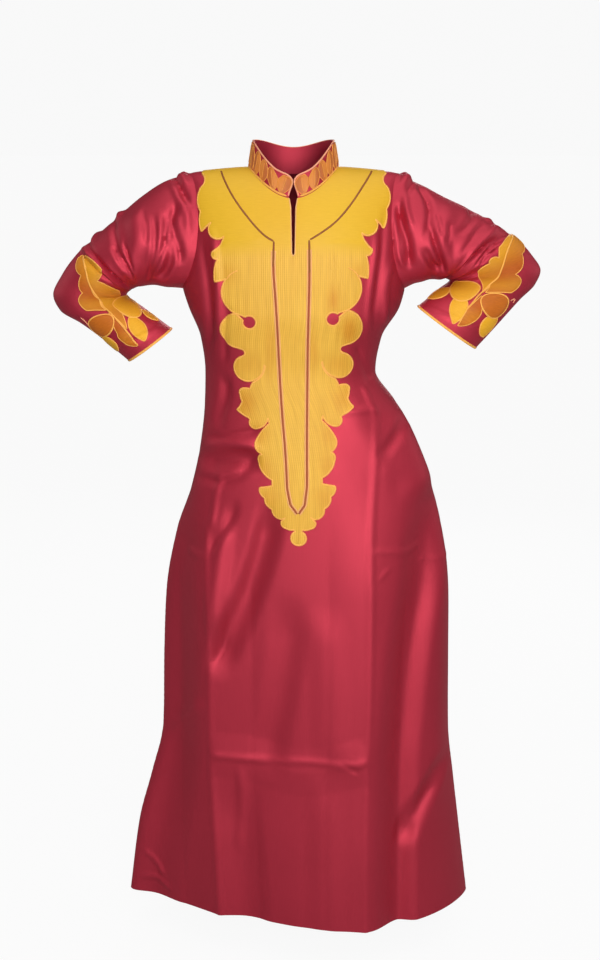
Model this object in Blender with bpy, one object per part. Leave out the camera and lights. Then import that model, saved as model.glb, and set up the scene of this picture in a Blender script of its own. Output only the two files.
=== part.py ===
"""A grand boubou as it hangs on its wearer: front, back, two bent sleeves, stand collar, embroidery.

Metres. +X is the viewer's right, +Y points away from the viewer and +Z is up. The origin is the
centre of the neck, level with the points where shoulder seam and collar meet.
"""
import math
from collections import namedtuple

import bpy
import numpy as np
from mathutils import Vector
from mathutils.geometry import delaunay_2d_cdt

# Driving dimensions
HEM_Z = -1.4015
BUST_Z = -0.200
UNDERARM_Z = -0.215
CLOTH = 0.0016
COLLAR_CLOTH = 0.0026
SEAM_GAP = 0.0003
WORK_GAP = 0.0004
WORK_THICKNESS = 0.0012

# Neck and shoulder
NECK_HALF_WIDTH = 0.0785
NECK_FRONT = 0.080
NECK_BACK = 0.066
SHOULDER_TIP_X = 0.185
SHOULDER_DROP = 0.012
FRONT_FULLNESS = 0.90
BACK_FULLNESS = 0.50
SLIT_HALF_WIDTH = 0.0055
SLIT_FOOT_HALF_WIDTH = 0.0015
SLIT_TOP_Z = -0.056
SLIT_BOTTOM_Z = -0.143
SLIT_POINT = 0.003
COLLAR_FRONT_HEIGHT = 0.036
COLLAR_SIDE_HEIGHT = 0.046
COLLAR_RISE_LENGTH = 0.12
COLLAR_LEAN = 0.16
COLLAR_CORNER = 0.014

# Neck angles of the front, from the slit to the shoulder point
NECK_DEGREES = (7.5, 12, 18, 28, 40, 52, 64, 76, 84)

# The body's level sections, from the hem up: outline left and right, depth to the front and back,
# how square the section is (2 is an ellipse) and how far the front swings forward on its right
Section = namedtuple("Section", "z left right front back square swing")
SECTIONS = (
    Section(-1.4015, -0.326, 0.342, 0.147, 0.168, 1.60, -0.085),
    Section(-1.2500, -0.304, 0.322, 0.142, 0.162, 1.65, -0.072),
    Section(-1.1500, -0.277, 0.309, 0.138, 0.158, 1.70, -0.062),
    Section(-1.0500, -0.253, 0.297, 0.135, 0.154, 1.80, -0.052),
    Section(-0.9000, -0.248, 0.293, 0.131, 0.149, 1.90, -0.038),
    Section(-0.7800, -0.241, 0.290, 0.127, 0.144, 2.00, -0.028),
    Section(-0.6600, -0.218, 0.276, 0.122, 0.138, 2.10, -0.020),
    Section(-0.5800, -0.190, 0.256, 0.118, 0.132, 2.15, -0.014),
    Section(-0.4900, -0.170, 0.221, 0.110, 0.120, 2.20, -0.008),
    Section(-0.4200, -0.162, 0.186, 0.103, 0.104, 2.25, -0.003),
    Section(-0.3600, -0.160, 0.148, 0.101, 0.094, 2.30, 0.000),
    Section(-0.3000, -0.167, 0.158, 0.108, 0.093, 2.30, 0.000),
    Section(-0.2450, -0.188, 0.190, 0.116, 0.100, 2.25, 0.000),
    Section(-0.2000, -0.202, 0.202, 0.116, 0.106, 2.20, 0.000),
)

# Armhole edge: how far out it lies on each side, at shares of the way from underarm to shoulder
Armhole = namedtuple("Armhole", "way left right")
ARMHOLE = (
    Armhole(0.00, -0.201, 0.201),
    Armhole(0.12, -0.183, 0.184),
    Armhole(0.30, -0.169, 0.173),
    Armhole(0.50, -0.165, 0.170),
    Armhole(0.70, -0.169, 0.173),
    Armhole(0.85, -0.176, 0.178),
    Armhole(1.00, -0.185, 0.185),
)

# Folds on front and back: a line from top to bottom, its half width, and its height over the cloth.
# A sharp fold is a pressed crease, the others are soft
Fold = namedtuple("Fold", "x_top z_top x_bottom z_bottom width height sharp")
FRONT_FOLDS = (
    Fold(0.146, -0.380, 0.134, -1.650, 0.070, 0.011, True),
    Fold(-0.160, -0.600, -0.129, -1.650, 0.070, 0.012, True),
    Fold(-0.070, -0.660, -0.175, -0.960, 0.048, -0.013, False),
    Fold(-0.185, -0.640, -0.262, -1.060, 0.042, 0.012, False),
    Fold(0.190, -0.500, 0.212, -1.400, 0.050, -0.011, False),
    Fold(0.262, -0.560, 0.262, -1.250, 0.045, 0.010, False),
    Fold(0.010, -0.780, -0.020, -1.120, 0.050, -0.009, False),
    Fold(-0.070, -0.400, -0.162, -0.560, 0.040, -0.012, False),
    Fold(0.085, -0.400, 0.195, -0.560, 0.042, 0.012, False),
    Fold(-0.240, -1.150, -0.275, -1.650, 0.040, -0.010, False),
)
BACK_FOLDS = (
    Fold(0.140, -0.500, 0.136, -1.650, 0.070, 0.012, True),
    Fold(-0.135, -0.560, -0.138, -1.650, 0.070, 0.012, True),
    Fold(0.000, -0.560, 0.020, -1.350, 0.060, -0.012, False),
    Fold(-0.050, -0.300, -0.150, -0.540, 0.045, -0.012, False),
    Fold(0.060, -0.300, 0.180, -0.520, 0.045, 0.012, False),
    Fold(0.215, -0.620, 0.240, -1.500, 0.052, -0.012, False),
    Fold(-0.185, -0.700, -0.235, -1.500, 0.050, 0.012, False),
)

# Sleeve rings from armhole to cuff: outer and inner point seen from the front, and depth
Ring = namedtuple("Ring", "out_x out_z in_x in_z centre_y half_depth")
LEFT_RINGS = (
    Ring(-0.185, -0.012, -0.201, -0.215, 0.000, 0.062),
    Ring(-0.226, -0.026, -0.222, -0.213, 0.004, 0.070),
    Ring(-0.269, -0.053, -0.251, -0.209, 0.009, 0.072),
    Ring(-0.309, -0.086, -0.272, -0.210, 0.014, 0.071),
    Ring(-0.347, -0.118, -0.284, -0.214, 0.018, 0.069),
    Ring(-0.383, -0.149, -0.292, -0.218, 0.021, 0.066),
    Ring(-0.415, -0.189, -0.299, -0.224, 0.022, 0.062),
    Ring(-0.433, -0.226, -0.301, -0.228, 0.018, 0.059),
    Ring(-0.420, -0.254, -0.296, -0.233, 0.010, 0.056),
    Ring(-0.381, -0.275, -0.280, -0.240, -0.006, 0.053),
    Ring(-0.342, -0.300, -0.257, -0.253, -0.024, 0.050),
    Ring(-0.316, -0.319, -0.237, -0.266, -0.036, 0.048),
    Ring(-0.292, -0.337, -0.215, -0.280, -0.047, 0.046),
)
RIGHT_RINGS = (
    Ring(0.185, -0.012, 0.201, -0.215, 0.000, 0.062),
    Ring(0.222, -0.030, 0.224, -0.204, 0.004, 0.070),
    Ring(0.265, -0.053, 0.244, -0.199, 0.009, 0.072),
    Ring(0.314, -0.076, 0.259, -0.198, 0.014, 0.071),
    Ring(0.359, -0.102, 0.269, -0.198, 0.018, 0.069),
    Ring(0.396, -0.125, 0.275, -0.198, 0.021, 0.066),
    Ring(0.425, -0.154, 0.279, -0.199, 0.022, 0.062),
    Ring(0.443, -0.183, 0.280, -0.202, 0.018, 0.059),
    Ring(0.433, -0.207, 0.275, -0.206, 0.010, 0.056),
    Ring(0.405, -0.232, 0.263, -0.211, -0.006, 0.053),
    Ring(0.377, -0.259, 0.249, -0.219, -0.024, 0.050),
    Ring(0.349, -0.288, 0.235, -0.229, -0.036, 0.048),
    Ring(0.322, -0.315, 0.219, -0.240, -0.047, 0.046),
)
SLEEVE_GIRTH = 0.430
SLEEVE_LENGTH = 0.440
SLEEVE_HEAD_SHARE = 0.3

# Sleeve folds, as shares: place along the sleeve, slant, half width; in degrees round the sleeve
# from its outer edge (the front is -90): middle and reach; and height over the cloth
SleeveFold = namedtuple("SleeveFold", "along slant width turn reach height")
SLEEVE_FOLDS = (
    SleeveFold(0.13, 0.05, 0.050, -115, 80, 0.007),
    SleeveFold(0.27, 0.04, 0.048, -120, 75, 0.007),
    SleeveFold(0.40, 0.00, 0.045, -125, 65, 0.007),
    SleeveFold(0.53, -0.05, 0.040, -130, 55, 0.005),
    SleeveFold(0.16, 0.05, 0.052, 115, 80, 0.007),
    SleeveFold(0.31, 0.02, 0.050, 120, 75, 0.007),
    SleeveFold(0.46, -0.03, 0.045, 125, 65, 0.006),
)

# Edge of the chest embroidery: distance from its middle line, height, and how round the edge is on
# its way to the next row (the tangent of a quarter of its arc; 1 is a half circle, below 0 cuts in)
Knot = namedtuple("Knot", "reach z bend")
PLASTRON_EDGE = (
    Knot(0.158, -0.016, 0.35),
    Knot(0.158, -0.068, 0.15),
    Knot(0.154, -0.105, -0.25),
    Knot(0.140, -0.090, 0.60),
    Knot(0.115, -0.110, 0.45),
    Knot(0.120, -0.150, 0.20),
    Knot(0.120, -0.186, -0.30),
    Knot(0.105, -0.185, 0.40),
    Knot(0.085, -0.240, 0.10),
    Knot(0.067, -0.243, -4.50),
    Knot(0.070, -0.250, 0.00),
    Knot(0.095, -0.241, 0.70),
    Knot(0.100, -0.290, 0.10),
    Knot(0.085, -0.306, 0.60),
    Knot(0.090, -0.350, 0.50),
    Knot(0.058, -0.350, -0.10),
    Knot(0.050, -0.330, -0.15),
    Knot(0.072, -0.372, 0.30),
    Knot(0.095, -0.380, 0.15),
    Knot(0.100, -0.410, -0.20),
    Knot(0.082, -0.420, 0.50),
    Knot(0.070, -0.441, 0.10),
    Knot(0.050, -0.425, -0.15),
    Knot(0.065, -0.455, 0.40),
    Knot(0.062, -0.490, 0.60),
    Knot(0.050, -0.530, 0.00),
    Knot(0.050, -0.545, 0.80),
    Knot(0.060, -0.572, 0.45),
    Knot(0.048, -0.602, 0.50),
    Knot(0.026, -0.606, 0.60),
    Knot(0.006, -0.630, 0.90),
    Knot(0.000, -0.658, 0.00),
)
PLASTRON_MIDDLE_TOP = -0.002
PLASTRON_MIDDLE_DRIFT = 0.010
PLASTRON_DRIFT_LENGTH = 0.6
PLASTRON_SHOULDER_REACH = 0.155
PLASTRON_INSET = 0.003
PLASTRON_ARC_STEP = 0.014

# Embroidery above each cuff, on the sleeve's flat pattern (round, along): a notched leaf, two discs
# and the petals that grow out of them
SleeveKnot = namedtuple("SleeveKnot", "round along bend")
SLEEVE_LEAF = (
    SleeveKnot(-0.030, 0.178, 0.15),
    SleeveKnot(-0.105, 0.176, 0.20),
    SleeveKnot(-0.112, 0.200, 0.20),
    SleeveKnot(-0.155, 0.205, 0.25),
    SleeveKnot(-0.150, 0.300, 0.15),
    SleeveKnot(-0.100, 0.418, 0.20),
    SleeveKnot(-0.090, 0.300, 0.20),
    SleeveKnot(-0.097, 0.245, 0.20),
    SleeveKnot(-0.075, 0.222, 0.20),
)
Disc = namedtuple("Disc", "round along radius")
SLEEVE_DISCS = (Disc(-0.080, 0.345, 0.025), Disc(-0.166, 0.308, 0.025))
Petal = namedtuple("Petal", "root_round root_along tip_round tip_along bend")
SLEEVE_PETALS = (
    Petal(-0.080, 0.345, -0.020, 0.412, 0.35),
    Petal(-0.166, 0.308, -0.116, 0.420, 0.30),
    Petal(-0.166, 0.308, -0.206, 0.385, 0.35),
)
SLEEVE_ARC_STEP = 0.013

# Triangle sizes on the flat patterns; those of the skirt turn into the torso's from one height to
# the other
TORSO_STEP = 0.026
SKIRT_STEP = 0.042
SKIRT_STEP_TO_Z = -0.78
TORSO_STEP_FROM_Z = -0.58
BACK_COARSER = 1.25
SLEEVE_STEP = 0.022
ARMHOLE_POINTS = 12
SHOULDER_POINTS = 5


def smooth(knots, values, at):
    """Cubic curve through the values at the knots, with no overshoot between two of them."""
    knots = np.asarray(knots, float)
    values = np.asarray(values, float)
    at = np.clip(at, knots[0], knots[-1])
    slope = np.diff(values) / np.diff(knots)
    product = slope[:-1] * slope[1:]
    tangent = np.concatenate(([slope[0]], np.zeros(len(product)), [slope[-1]]))
    same = product > 0
    tangent[1:-1][same] = 2 * product[same] / (slope[:-1] + slope[1:])[same]
    i = np.clip(np.searchsorted(knots, at) - 1, 0, len(slope) - 1)
    width = knots[i + 1] - knots[i]
    t = (at - knots[i]) / width
    ends = values[i] * (1 - t) ** 2 * (1 + 2 * t) + values[i + 1] * t ** 2 * (3 - 2 * t)
    return ends + width * t * (1 - t) * (tangent[i] * (1 - t) - tangent[i + 1] * t)


def column(table, name):
    return [getattr(row, name) for row in table]


def ease(share):
    share = np.clip(share, 0, 1)
    return share * share * (3 - 2 * share)


def arc_length(line):
    """Distance along a line of points, at each of them."""
    return np.concatenate(([0], np.cumsum(np.linalg.norm(np.diff(line, axis=0), axis=1))))


def grid_normals(grid):
    """Unit normals of a grid of points, from its rows and columns."""
    along_rows = np.gradient(grid, axis=1)
    along_columns = np.gradient(grid, axis=0)
    normals = np.cross(along_rows, along_columns)
    return normals / np.maximum(np.linalg.norm(normals, axis=2, keepdims=True), 1e-12)


def between(grid, row, col):
    """Points of a grid at fractional rows and columns."""
    row = np.clip(row, 0, grid.shape[0] - 1)
    col = np.clip(col, 0, grid.shape[1] - 1)
    r = np.minimum(row.astype(int), grid.shape[0] - 2)
    c = np.minimum(col.astype(int), grid.shape[1] - 2)
    dr = (row - r)[:, None]
    dc = (col - c)[:, None]
    lower = grid[r, c] * (1 - dc) + grid[r, c + 1] * dc
    upper = grid[r + 1, c] * (1 - dc) + grid[r + 1, c + 1] * dc
    return lower * (1 - dr) + upper * dr


def shoulder_z(x):
    return -SHOULDER_DROP * (x / SHOULDER_TIP_X) ** 2


def side_seam(hand, z):
    """Points of a side seam; hand is left or right as the viewer sees it."""
    x = smooth(column(SECTIONS, "z"), column(SECTIONS, hand), z)
    return np.stack([x, np.zeros_like(x), z], axis=1)


def shoulder_seam(x):
    return np.stack([x, np.zeros_like(x), shoulder_z(x)], axis=1)


def fold_height(folds, x, z):
    """Height of the folds over the plain cloth at places seen from the front."""
    height = np.zeros_like(x)
    for fold in folds:
        run_x = fold.x_bottom - fold.x_top
        run_z = fold.z_bottom - fold.z_top
        length = math.hypot(run_x, run_z)
        along = ((x - fold.x_top) * run_x + (z - fold.z_top) * run_z) / length ** 2
        away = np.abs((x - fold.x_top) * run_z - (z - fold.z_top) * run_x) / length / fold.width
        away = np.minimum(away, 1)
        across = 1 - away if fold.sharp else 0.5 + 0.5 * np.cos(math.pi * away)
        height += fold.height * across * ease(along / 0.25) * ease((1 - along) / 0.25)
    return height


class Panel:
    """Front or back of the gown, as a map from its flat pattern to its worn form.

    A pattern place is (across, up). Across is measured along the level section from the panel's
    middle. Up is the height, and above the bust it runs on over the shoulder to the seam.
    """

    rows = 281
    columns = 161

    def __init__(self, toward, depth_name, fullness, folds, has_swing):
        self.toward = toward
        depth_at_bust = getattr(SECTIONS[-1], depth_name)
        turn = np.linspace(0, math.pi / 2, 200)
        self.over_out = np.cos(turn).clip(0) ** fullness
        self.over_rise = np.sin(turn)
        steps = np.hypot(np.diff(self.over_out) * depth_at_bust, np.diff(self.over_rise) * BUST_Z)
        self.over_length = np.concatenate(([0], np.cumsum(steps)))
        self.top = BUST_Z + self.over_length[-1]
        self.up = np.linspace(HEM_Z, self.top, self.rows)

        level = np.minimum(self.up, BUST_Z)[:, None]
        beyond = np.maximum(self.up - BUST_Z, 0)[:, None]
        knots = column(SECTIONS, "z")
        left = smooth(knots, column(SECTIONS, "left"), level)
        right = smooth(knots, column(SECTIONS, "right"), level)
        depth = smooth(knots, column(SECTIONS, depth_name), level)
        square = smooth(knots, column(SECTIONS, "square"), level)
        angle = np.linspace(-math.pi / 2, math.pi / 2, 241)[None, :]
        share_x = np.sign(angle) * np.abs(np.sin(angle)) ** (2 / square)
        share_y = np.cos(angle).clip(0) ** (2 / square)
        x = (left + right) / 2 + (right - left) / 2 * share_x
        y = toward * depth * share_y * np.interp(beyond, self.over_length, self.over_out)
        if has_swing:
            y = y + smooth(knots, column(SECTIONS, "swing"), level) * share_x * (1 - share_x ** 2)
        rise = np.interp(beyond, self.over_length, self.over_rise)
        z = level + (shoulder_z(x) - BUST_Z) * rise
        sections = np.stack([x, y, z], axis=2)

        share = np.linspace(-1, 1, self.columns)
        self.grid = np.empty((self.rows, self.columns, 3))
        self.half_width = np.empty(self.rows)
        for r, section in enumerate(sections):
            arc = arc_length(section)
            self.half_width[r] = arc[-1] / 2
            for axis in range(3):
                self.grid[r, :, axis] = np.interp((share + 1) * arc[-1] / 2, arc, section[:, axis])
        self.plain = self.grid.copy()
        lift = fold_height(folds, self.plain[:, :, 0], self.plain[:, :, 2]) * (1 - share ** 10)
        outward = -toward * grid_normals(self.plain)
        self.grid += outward * lift[:, :, None]

    def worn(self, places):
        """Worn positions of pattern places."""
        across, up = np.asarray(places, float).T
        row = (up - HEM_Z) / (self.top - HEM_Z) * (self.rows - 1)
        share = across / np.interp(up, self.up, self.half_width)
        return between(self.grid, row, (share + 1) / 2 * (self.columns - 1))

    def across_at(self, x, up):
        """Pattern place at a height, where the plain cloth has this x."""
        row = np.full(self.columns, (up - HEM_Z) / (self.top - HEM_Z) * (self.rows - 1))
        line = between(self.plain, row, np.arange(self.columns, dtype=float))
        share = np.interp(x, line[:, 0], np.linspace(-1, 1, self.columns))
        return (share * np.interp(up, self.up, self.half_width), up)

    def seen_at(self, x, z):
        """Pattern place seen at (x, z) from the front or behind."""
        rise = (z - BUST_Z) / (shoulder_z(x) - BUST_Z)
        beyond = np.interp(rise, self.over_rise, self.over_length)
        return self.across_at(x, BUST_Z + beyond if z > BUST_Z else z)

    def plan_at(self, x, y):
        """Pattern place above the bust, seen at (x, y) from above."""
        bust = self.plain[np.searchsorted(self.up, BUST_Z)]
        out = y / np.interp(x, bust[:, 0], bust[:, 1])
        beyond = np.interp(out, self.over_out[::-1], self.over_length[::-1])
        return self.across_at(x, BUST_Z + beyond)

    def armhole(self, hand, count):
        """Evenly spaced pattern places along an armhole, from underarm to shoulder."""
        way = np.linspace(0, 1, 120)
        x = smooth(column(ARMHOLE, "way"), column(ARMHOLE, hand), way)
        up = UNDERARM_Z + way * (self.top - UNDERARM_Z)
        places = np.array([self.across_at(*place) for place in zip(x, up)])
        arc = arc_length(self.worn(places))
        even = np.linspace(0, arc[-1], count)
        return list(zip(np.interp(even, arc, places[:, 0]), np.interp(even, arc, places[:, 1])))


class Sleeve:
    """A bent sleeve, as a map from its flat pattern (round, along) to its worn form.

    Round is measured from the outer edge, towards the front below zero, so that both ends of its
    range meet in the under-arm seam. Along runs from the armhole to the cuff.
    """

    rows = 121
    columns = 181

    def __init__(self, rings, armhole_line, folds):
        along = np.linspace(0, 1, self.rows)[:, None]
        turn = np.linspace(-math.pi, math.pi, self.columns)[None, :]
        knots = np.linspace(0, 1, len(rings))
        out_x, out_z, in_x, in_z, centre_y, half_depth = (
            smooth(knots, column(rings, name), along) for name in Ring._fields)
        x = (out_x + in_x) / 2 + (out_x - in_x) / 2 * np.cos(turn)
        y = centre_y + half_depth * np.sin(turn)
        z = (out_z + in_z) / 2 + (out_z - in_z) / 2 * np.cos(turn)
        grid = np.stack([x, y, z], axis=2)

        arc = arc_length(armhole_line)
        tip = np.argmax(armhole_line[:, 2])
        place = np.interp(turn[0], (-math.pi, 0, math.pi), (0, arc[tip], arc[-1]))
        first = np.stack([np.interp(place, arc, armhole_line[:, axis]) for axis in range(3)], axis=1)
        head = np.clip(1 - along / SLEEVE_HEAD_SHARE, 0, 1) ** 2
        grid = grid + head[:, :, None] * (first - grid[0])[None]
        centre = grid.mean(axis=1, keepdims=True)
        wrapped = np.concatenate([grid[:, -2:-1], grid, grid[:, 1:2]], axis=1)
        outward = grid_normals(wrapped)[:, 1:-1]
        self.inside_out = np.sum(outward * (grid - centre)) < 0
        if self.inside_out:
            outward = -outward
        degrees = np.degrees(turn)
        lift = np.zeros_like(along * turn)
        for fold in folds:
            from_fold = (degrees - fold.turn + 180) % 360 - 180
            off = (along - fold.along - fold.slant * from_fold / 90) / fold.width
            reach = np.cos(np.clip(from_fold / fold.reach, -1, 1) * math.pi / 2) ** 2
            lift += fold.height * np.exp(-off ** 2) * reach
        lift *= ease(along / 0.08) * ease((1 - along) / 0.12)
        self.grid = grid + outward * lift[:, :, None]

    def worn(self, places):
        around, along = np.asarray(places, float).T
        row = along / SLEEVE_LENGTH * (self.rows - 1)
        return between(self.grid, row, (around / SLEEVE_GIRTH + 0.5) * (self.columns - 1))


def inside(loop, places):
    """Which places lie inside a closed loop."""
    loop = np.asarray(loop, float)
    x, y = np.asarray(places, float).T
    found = np.zeros(len(x), bool)
    for (x0, y0), (x1, y1) in zip(loop, np.roll(loop, -1, axis=0)):
        if y0 == y1:
            continue
        found ^= ((y0 > y) != (y1 > y)) & (x < (x1 - x0) * (y - y0) / (y1 - y0) + x0)
    return found


def triangulate(outline, loops, lines, step_at):
    """Triangles over a flat pattern that keep its loops and lines as edges.

    Returns the places, the triangles, and the number of each outline point among the places.
    """
    fixed = []
    edges = []
    for number, chain in enumerate([outline, *loops, *lines]):
        first = len(fixed)
        fixed.extend(tuple(place) for place in chain)
        edges.extend((i, i + 1) for i in range(first, len(fixed) - 1))
        if number <= len(loops):
            edges.append((len(fixed) - 1, first))
    starts = np.array([fixed[i] for i, _ in edges])
    runs = np.array([fixed[j] for _, j in edges]) - starts
    low = np.min(outline, axis=0)
    high = np.max(outline, axis=0)
    free = []
    up = low[1]
    shifted = False
    while up < high[1]:
        step = step_at(up)
        count = int((high[0] - low[0]) / step / 2) + 1
        row = (np.arange(-count, count + 1) + 0.5 * shifted) * step + (low[0] + high[0]) / 2
        row = np.stack([row, np.full(len(row), up)], axis=1)
        off = row[:, None] - starts[None]
        share = np.clip(np.sum(off * runs, axis=2) / np.sum(runs * runs, axis=1), 0, 1)
        away = np.linalg.norm(off - share[:, :, None] * runs, axis=2).min(axis=1)
        free.extend(row[inside(outline, row) & (away > 0.5 * step)])
        up += step * 0.866
        shifted = not shifted
    places = [Vector(place) for place in fixed + free]
    found = delaunay_2d_cdt(places, edges, [], 1, 1e-6)
    numbers = {old: new for new, olds in enumerate(found[3]) for old in olds}
    outline_numbers = [numbers[i] for i in range(len(outline))]
    return np.array([tuple(place) for place in found[0]]), np.array(found[2]), outline_numbers


class Piece:
    """One cut piece of cloth, before it is given its thickness."""

    def __init__(self, form, outline, seams, loops=(), lines=(), step_at=None, flip=False):
        places, faces, numbers = triangulate(outline, list(loops), list(lines), step_at)
        self.middles = places[faces].mean(axis=1)
        self.faces = faces[:, ::-1] if flip else faces
        self.points = form.worn(places)
        for number, point in seams.items():
            self.points[numbers[number]] = point

    def part_inside(self, loops):
        """The triangles inside any of some loops of the pattern."""
        return self.faces[np.any([inside(loop, self.middles) for loop in loops], axis=0)]

    def close(self):
        """Joins the edges of a sleeve's under-arm seam, which lie at the same points."""
        first = {}
        numbers = [first.setdefault(point_key(point), i) for i, point in enumerate(self.points)]
        kept = sorted(set(numbers))
        order = {old: new for new, old in enumerate(kept)}
        self.faces = np.array([[order[numbers[i]] for i in face] for face in self.faces])
        self.points = self.points[kept]


def point_key(point):
    return tuple(np.round(point, 6))


def boundary(faces):
    """Directed edges that only one triangle has."""
    edges = [(f[i], f[(i + 1) % 3]) for f in faces for i in range(3)]
    known = set(edges)
    return [(a, b) for a, b in edges if (b, a) not in known]


def join_seams(pieces):
    """Gives each piece normals shared over its seams, and draws its seam edges back by half a gap."""
    total = {}
    users = {}
    for number, piece in enumerate(pieces):
        piece.keys = [point_key(point) for point in piece.points]
        corners = piece.points[piece.faces]
        for i in range(3):
            to_next = corners[:, (i + 1) % 3] - corners[:, i]
            to_last = corners[:, (i + 2) % 3] - corners[:, i]
            cross = np.cross(to_next, to_last)
            size = np.linalg.norm(cross, axis=1)
            angle = np.arctan2(size, np.sum(to_next * to_last, axis=1))
            share = cross / np.maximum(size, 1e-15)[:, None] * angle[:, None]
            for face, value in zip(piece.faces, share):
                total[piece.keys[face[i]]] = total.get(piece.keys[face[i]], 0) + value
        piece.rim = boundary(piece.faces)
        for a, b in piece.rim:
            users.setdefault(frozenset((piece.keys[a], piece.keys[b])), set()).add(number)
    for piece in pieces:
        normals = np.array([total[key] for key in piece.keys])
        piece.normals = normals / np.linalg.norm(normals, axis=1)[:, None]
        inward = {}
        for a, b in piece.rim:
            shared = len(users[frozenset((piece.keys[a], piece.keys[b]))]) > 1
            for end in (a, b):
                side = np.cross(piece.normals[end], piece.points[b] - piece.points[a])
                side /= np.linalg.norm(side)
                inward.setdefault(end, []).append((side, SEAM_GAP / 2 if shared else 0))
        moved = piece.points.copy()
        for end, sides in inward.items():
            rows = np.array([side for side, _ in sides])
            gaps = np.array([gap for _, gap in sides])
            moved[end] += np.linalg.pinv(rows, rcond=0.3) @ gaps
        piece.points = moved


def cloth_wall(name, points, normals, faces, low, high, material):
    """Closed wall between two skins, low and high above a surface."""
    used = sorted(set(faces.ravel()))
    order = {old: new for new, old in enumerate(used)}
    skin = [[order[i] for i in face] for face in faces]
    count = len(used)
    outer = points[used] + normals[used] * high
    inner = points[used] + normals[used] * low
    solid = [*skin, *[[i + count for i in reversed(face)] for face in skin]]
    for a, b in boundary(np.array(skin)):
        solid.append([b, a, a + count, b + count])
    mesh = bpy.data.meshes.new(name)
    mesh.from_pydata([*outer.tolist(), *inner.tolist()], [], solid)
    mesh.update()
    mesh.materials.append(material)
    mesh.shade_smooth()
    mesh.set_sharp_from_angle(angle=math.radians(50))
    obj = bpy.data.objects.new(name, mesh)
    GOWN.objects.link(obj)
    return obj


def fabric(name, color, roughness):
    material = bpy.data.materials.new(name)
    material.use_nodes = True
    shader = material.node_tree.nodes["Principled BSDF"]
    shader.inputs["Base Color"].default_value = (*color, 1)
    shader.inputs["Roughness"].default_value = roughness
    shader.inputs["Metallic"].default_value = 0
    return material


def body_step(up):
    """Triangle size at a height of the front or back."""
    share = ease((up - SKIRT_STEP_TO_Z) / (TORSO_STEP_FROM_Z - SKIRT_STEP_TO_Z))
    return SKIRT_STEP + (TORSO_STEP - SKIRT_STEP) * share


def seam_levels():
    """Heights of the points of a side seam, from hem to underarm."""
    levels = [HEM_Z]
    while levels[-1] < UNDERARM_Z:
        levels.append(levels[-1] + body_step(levels[-1]))
    share = (np.array(levels) - HEM_Z) / (levels[-1] - HEM_Z)
    return HEM_Z + share * (UNDERARM_Z - HEM_Z)


def crease_lines(panel, folds):
    """Pattern lines of the pressed creases, each down to the hem."""
    lines = []
    for fold in folds:
        if not fold.sharp:
            continue
        z = np.linspace(fold.z_top, HEM_Z, int((fold.z_top - HEM_Z) / SKIRT_STEP) + 1)
        x = np.interp(z, (fold.z_bottom, fold.z_top), (fold.x_bottom, fold.x_top))
        lines.append([panel.seen_at(*place) for place in zip(x, z)])
    return lines


def panel_outline(panel, neck, lines):
    """Outline of a body panel, anticlockwise from the hem, with the worn points of its seams."""
    outline = []
    seams = {}

    def add(places, worn=()):
        for i, point in enumerate(worn):
            seams[len(outline) + i] = point
        outline.extend(places)

    half = panel.half_width[0]
    ends = [line[-1][0] for line in lines]
    hem = np.linspace(-half, half, int(2 * half / SKIRT_STEP) + 1)[1:-1]
    hem = [across for across in hem if min(abs(across - end) for end in ends) > SKIRT_STEP / 2]
    levels = seam_levels()
    widths = np.interp(levels, panel.up, panel.half_width)
    tip_to_neck = np.linspace(SHOULDER_TIP_X, NECK_HALF_WIDTH, SHOULDER_POINTS)
    add([(across, HEM_Z) for across in sorted([*hem, *ends])])
    add(list(zip(widths, levels)), side_seam("right", levels))
    add(panel.armhole("right", ARMHOLE_POINTS)[1:-1])
    add([panel.across_at(x, panel.top) for x in tip_to_neck], shoulder_seam(tip_to_neck))
    add(neck)
    neck_to_tip = -tip_to_neck[::-1]
    add([panel.across_at(x, panel.top) for x in neck_to_tip], shoulder_seam(neck_to_tip))
    add(panel.armhole("left", ARMHOLE_POINTS)[-2:0:-1])
    add(list(zip(-widths[::-1], levels[::-1])), side_seam("left", levels[::-1]))
    return outline, seams


def neck_places(panel, depth, degrees, inset=0):
    """Pattern places round the neck, at angles from the centre line towards the right."""
    turn = np.radians(degrees)
    x = (NECK_HALF_WIDTH + inset) * np.sin(turn)
    y = panel.toward * (depth + inset) * np.cos(turn)
    return [panel.plan_at(*place) for place in zip(x, y)]


def slit_places(panel, inset=0):
    """Pattern places down the right side of the neck slit, its foot, and up the left side."""
    share = np.linspace(0.12, 1, 5)
    half = np.interp(share, (0, 1), (SLIT_HALF_WIDTH, SLIT_FOOT_HALF_WIDTH)) + inset
    z = np.interp(share, (0, 1), (SLIT_TOP_Z, SLIT_BOTTOM_Z))
    right = [panel.seen_at(*place) for place in zip(half, z)]
    foot = [panel.seen_at(0, SLIT_BOTTOM_Z - SLIT_POINT - inset)]
    left = [panel.seen_at(*place) for place in zip(-half[::-1], z[::-1])]
    return right + foot + left


def arc_places(start, end, bend, step):
    """Points from start up to, not with, end, on an arc that bulges to the left of its way."""
    start = np.array(start)
    chord = np.array(end) - start
    length = np.linalg.norm(chord)
    if abs(bend) < 0.02:
        count = max(1, round(length / step))
        return [start + chord * i / count for i in range(count)]
    angle = 4 * math.atan(bend)
    radius = length / 2 / math.sin(angle / 2)
    left = np.array([-chord[1], chord[0]]) / length
    centre = start + chord / 2 - left * radius * math.cos(angle / 2)
    count = max(2, round(abs(radius * angle) / step))
    places = []
    for i in range(count):
        turn = -angle * i / count
        off = start - centre
        places.append(centre + (off[0] * math.cos(turn) - off[1] * math.sin(turn),
                                off[0] * math.sin(turn) + off[1] * math.cos(turn)))
    return places


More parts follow.
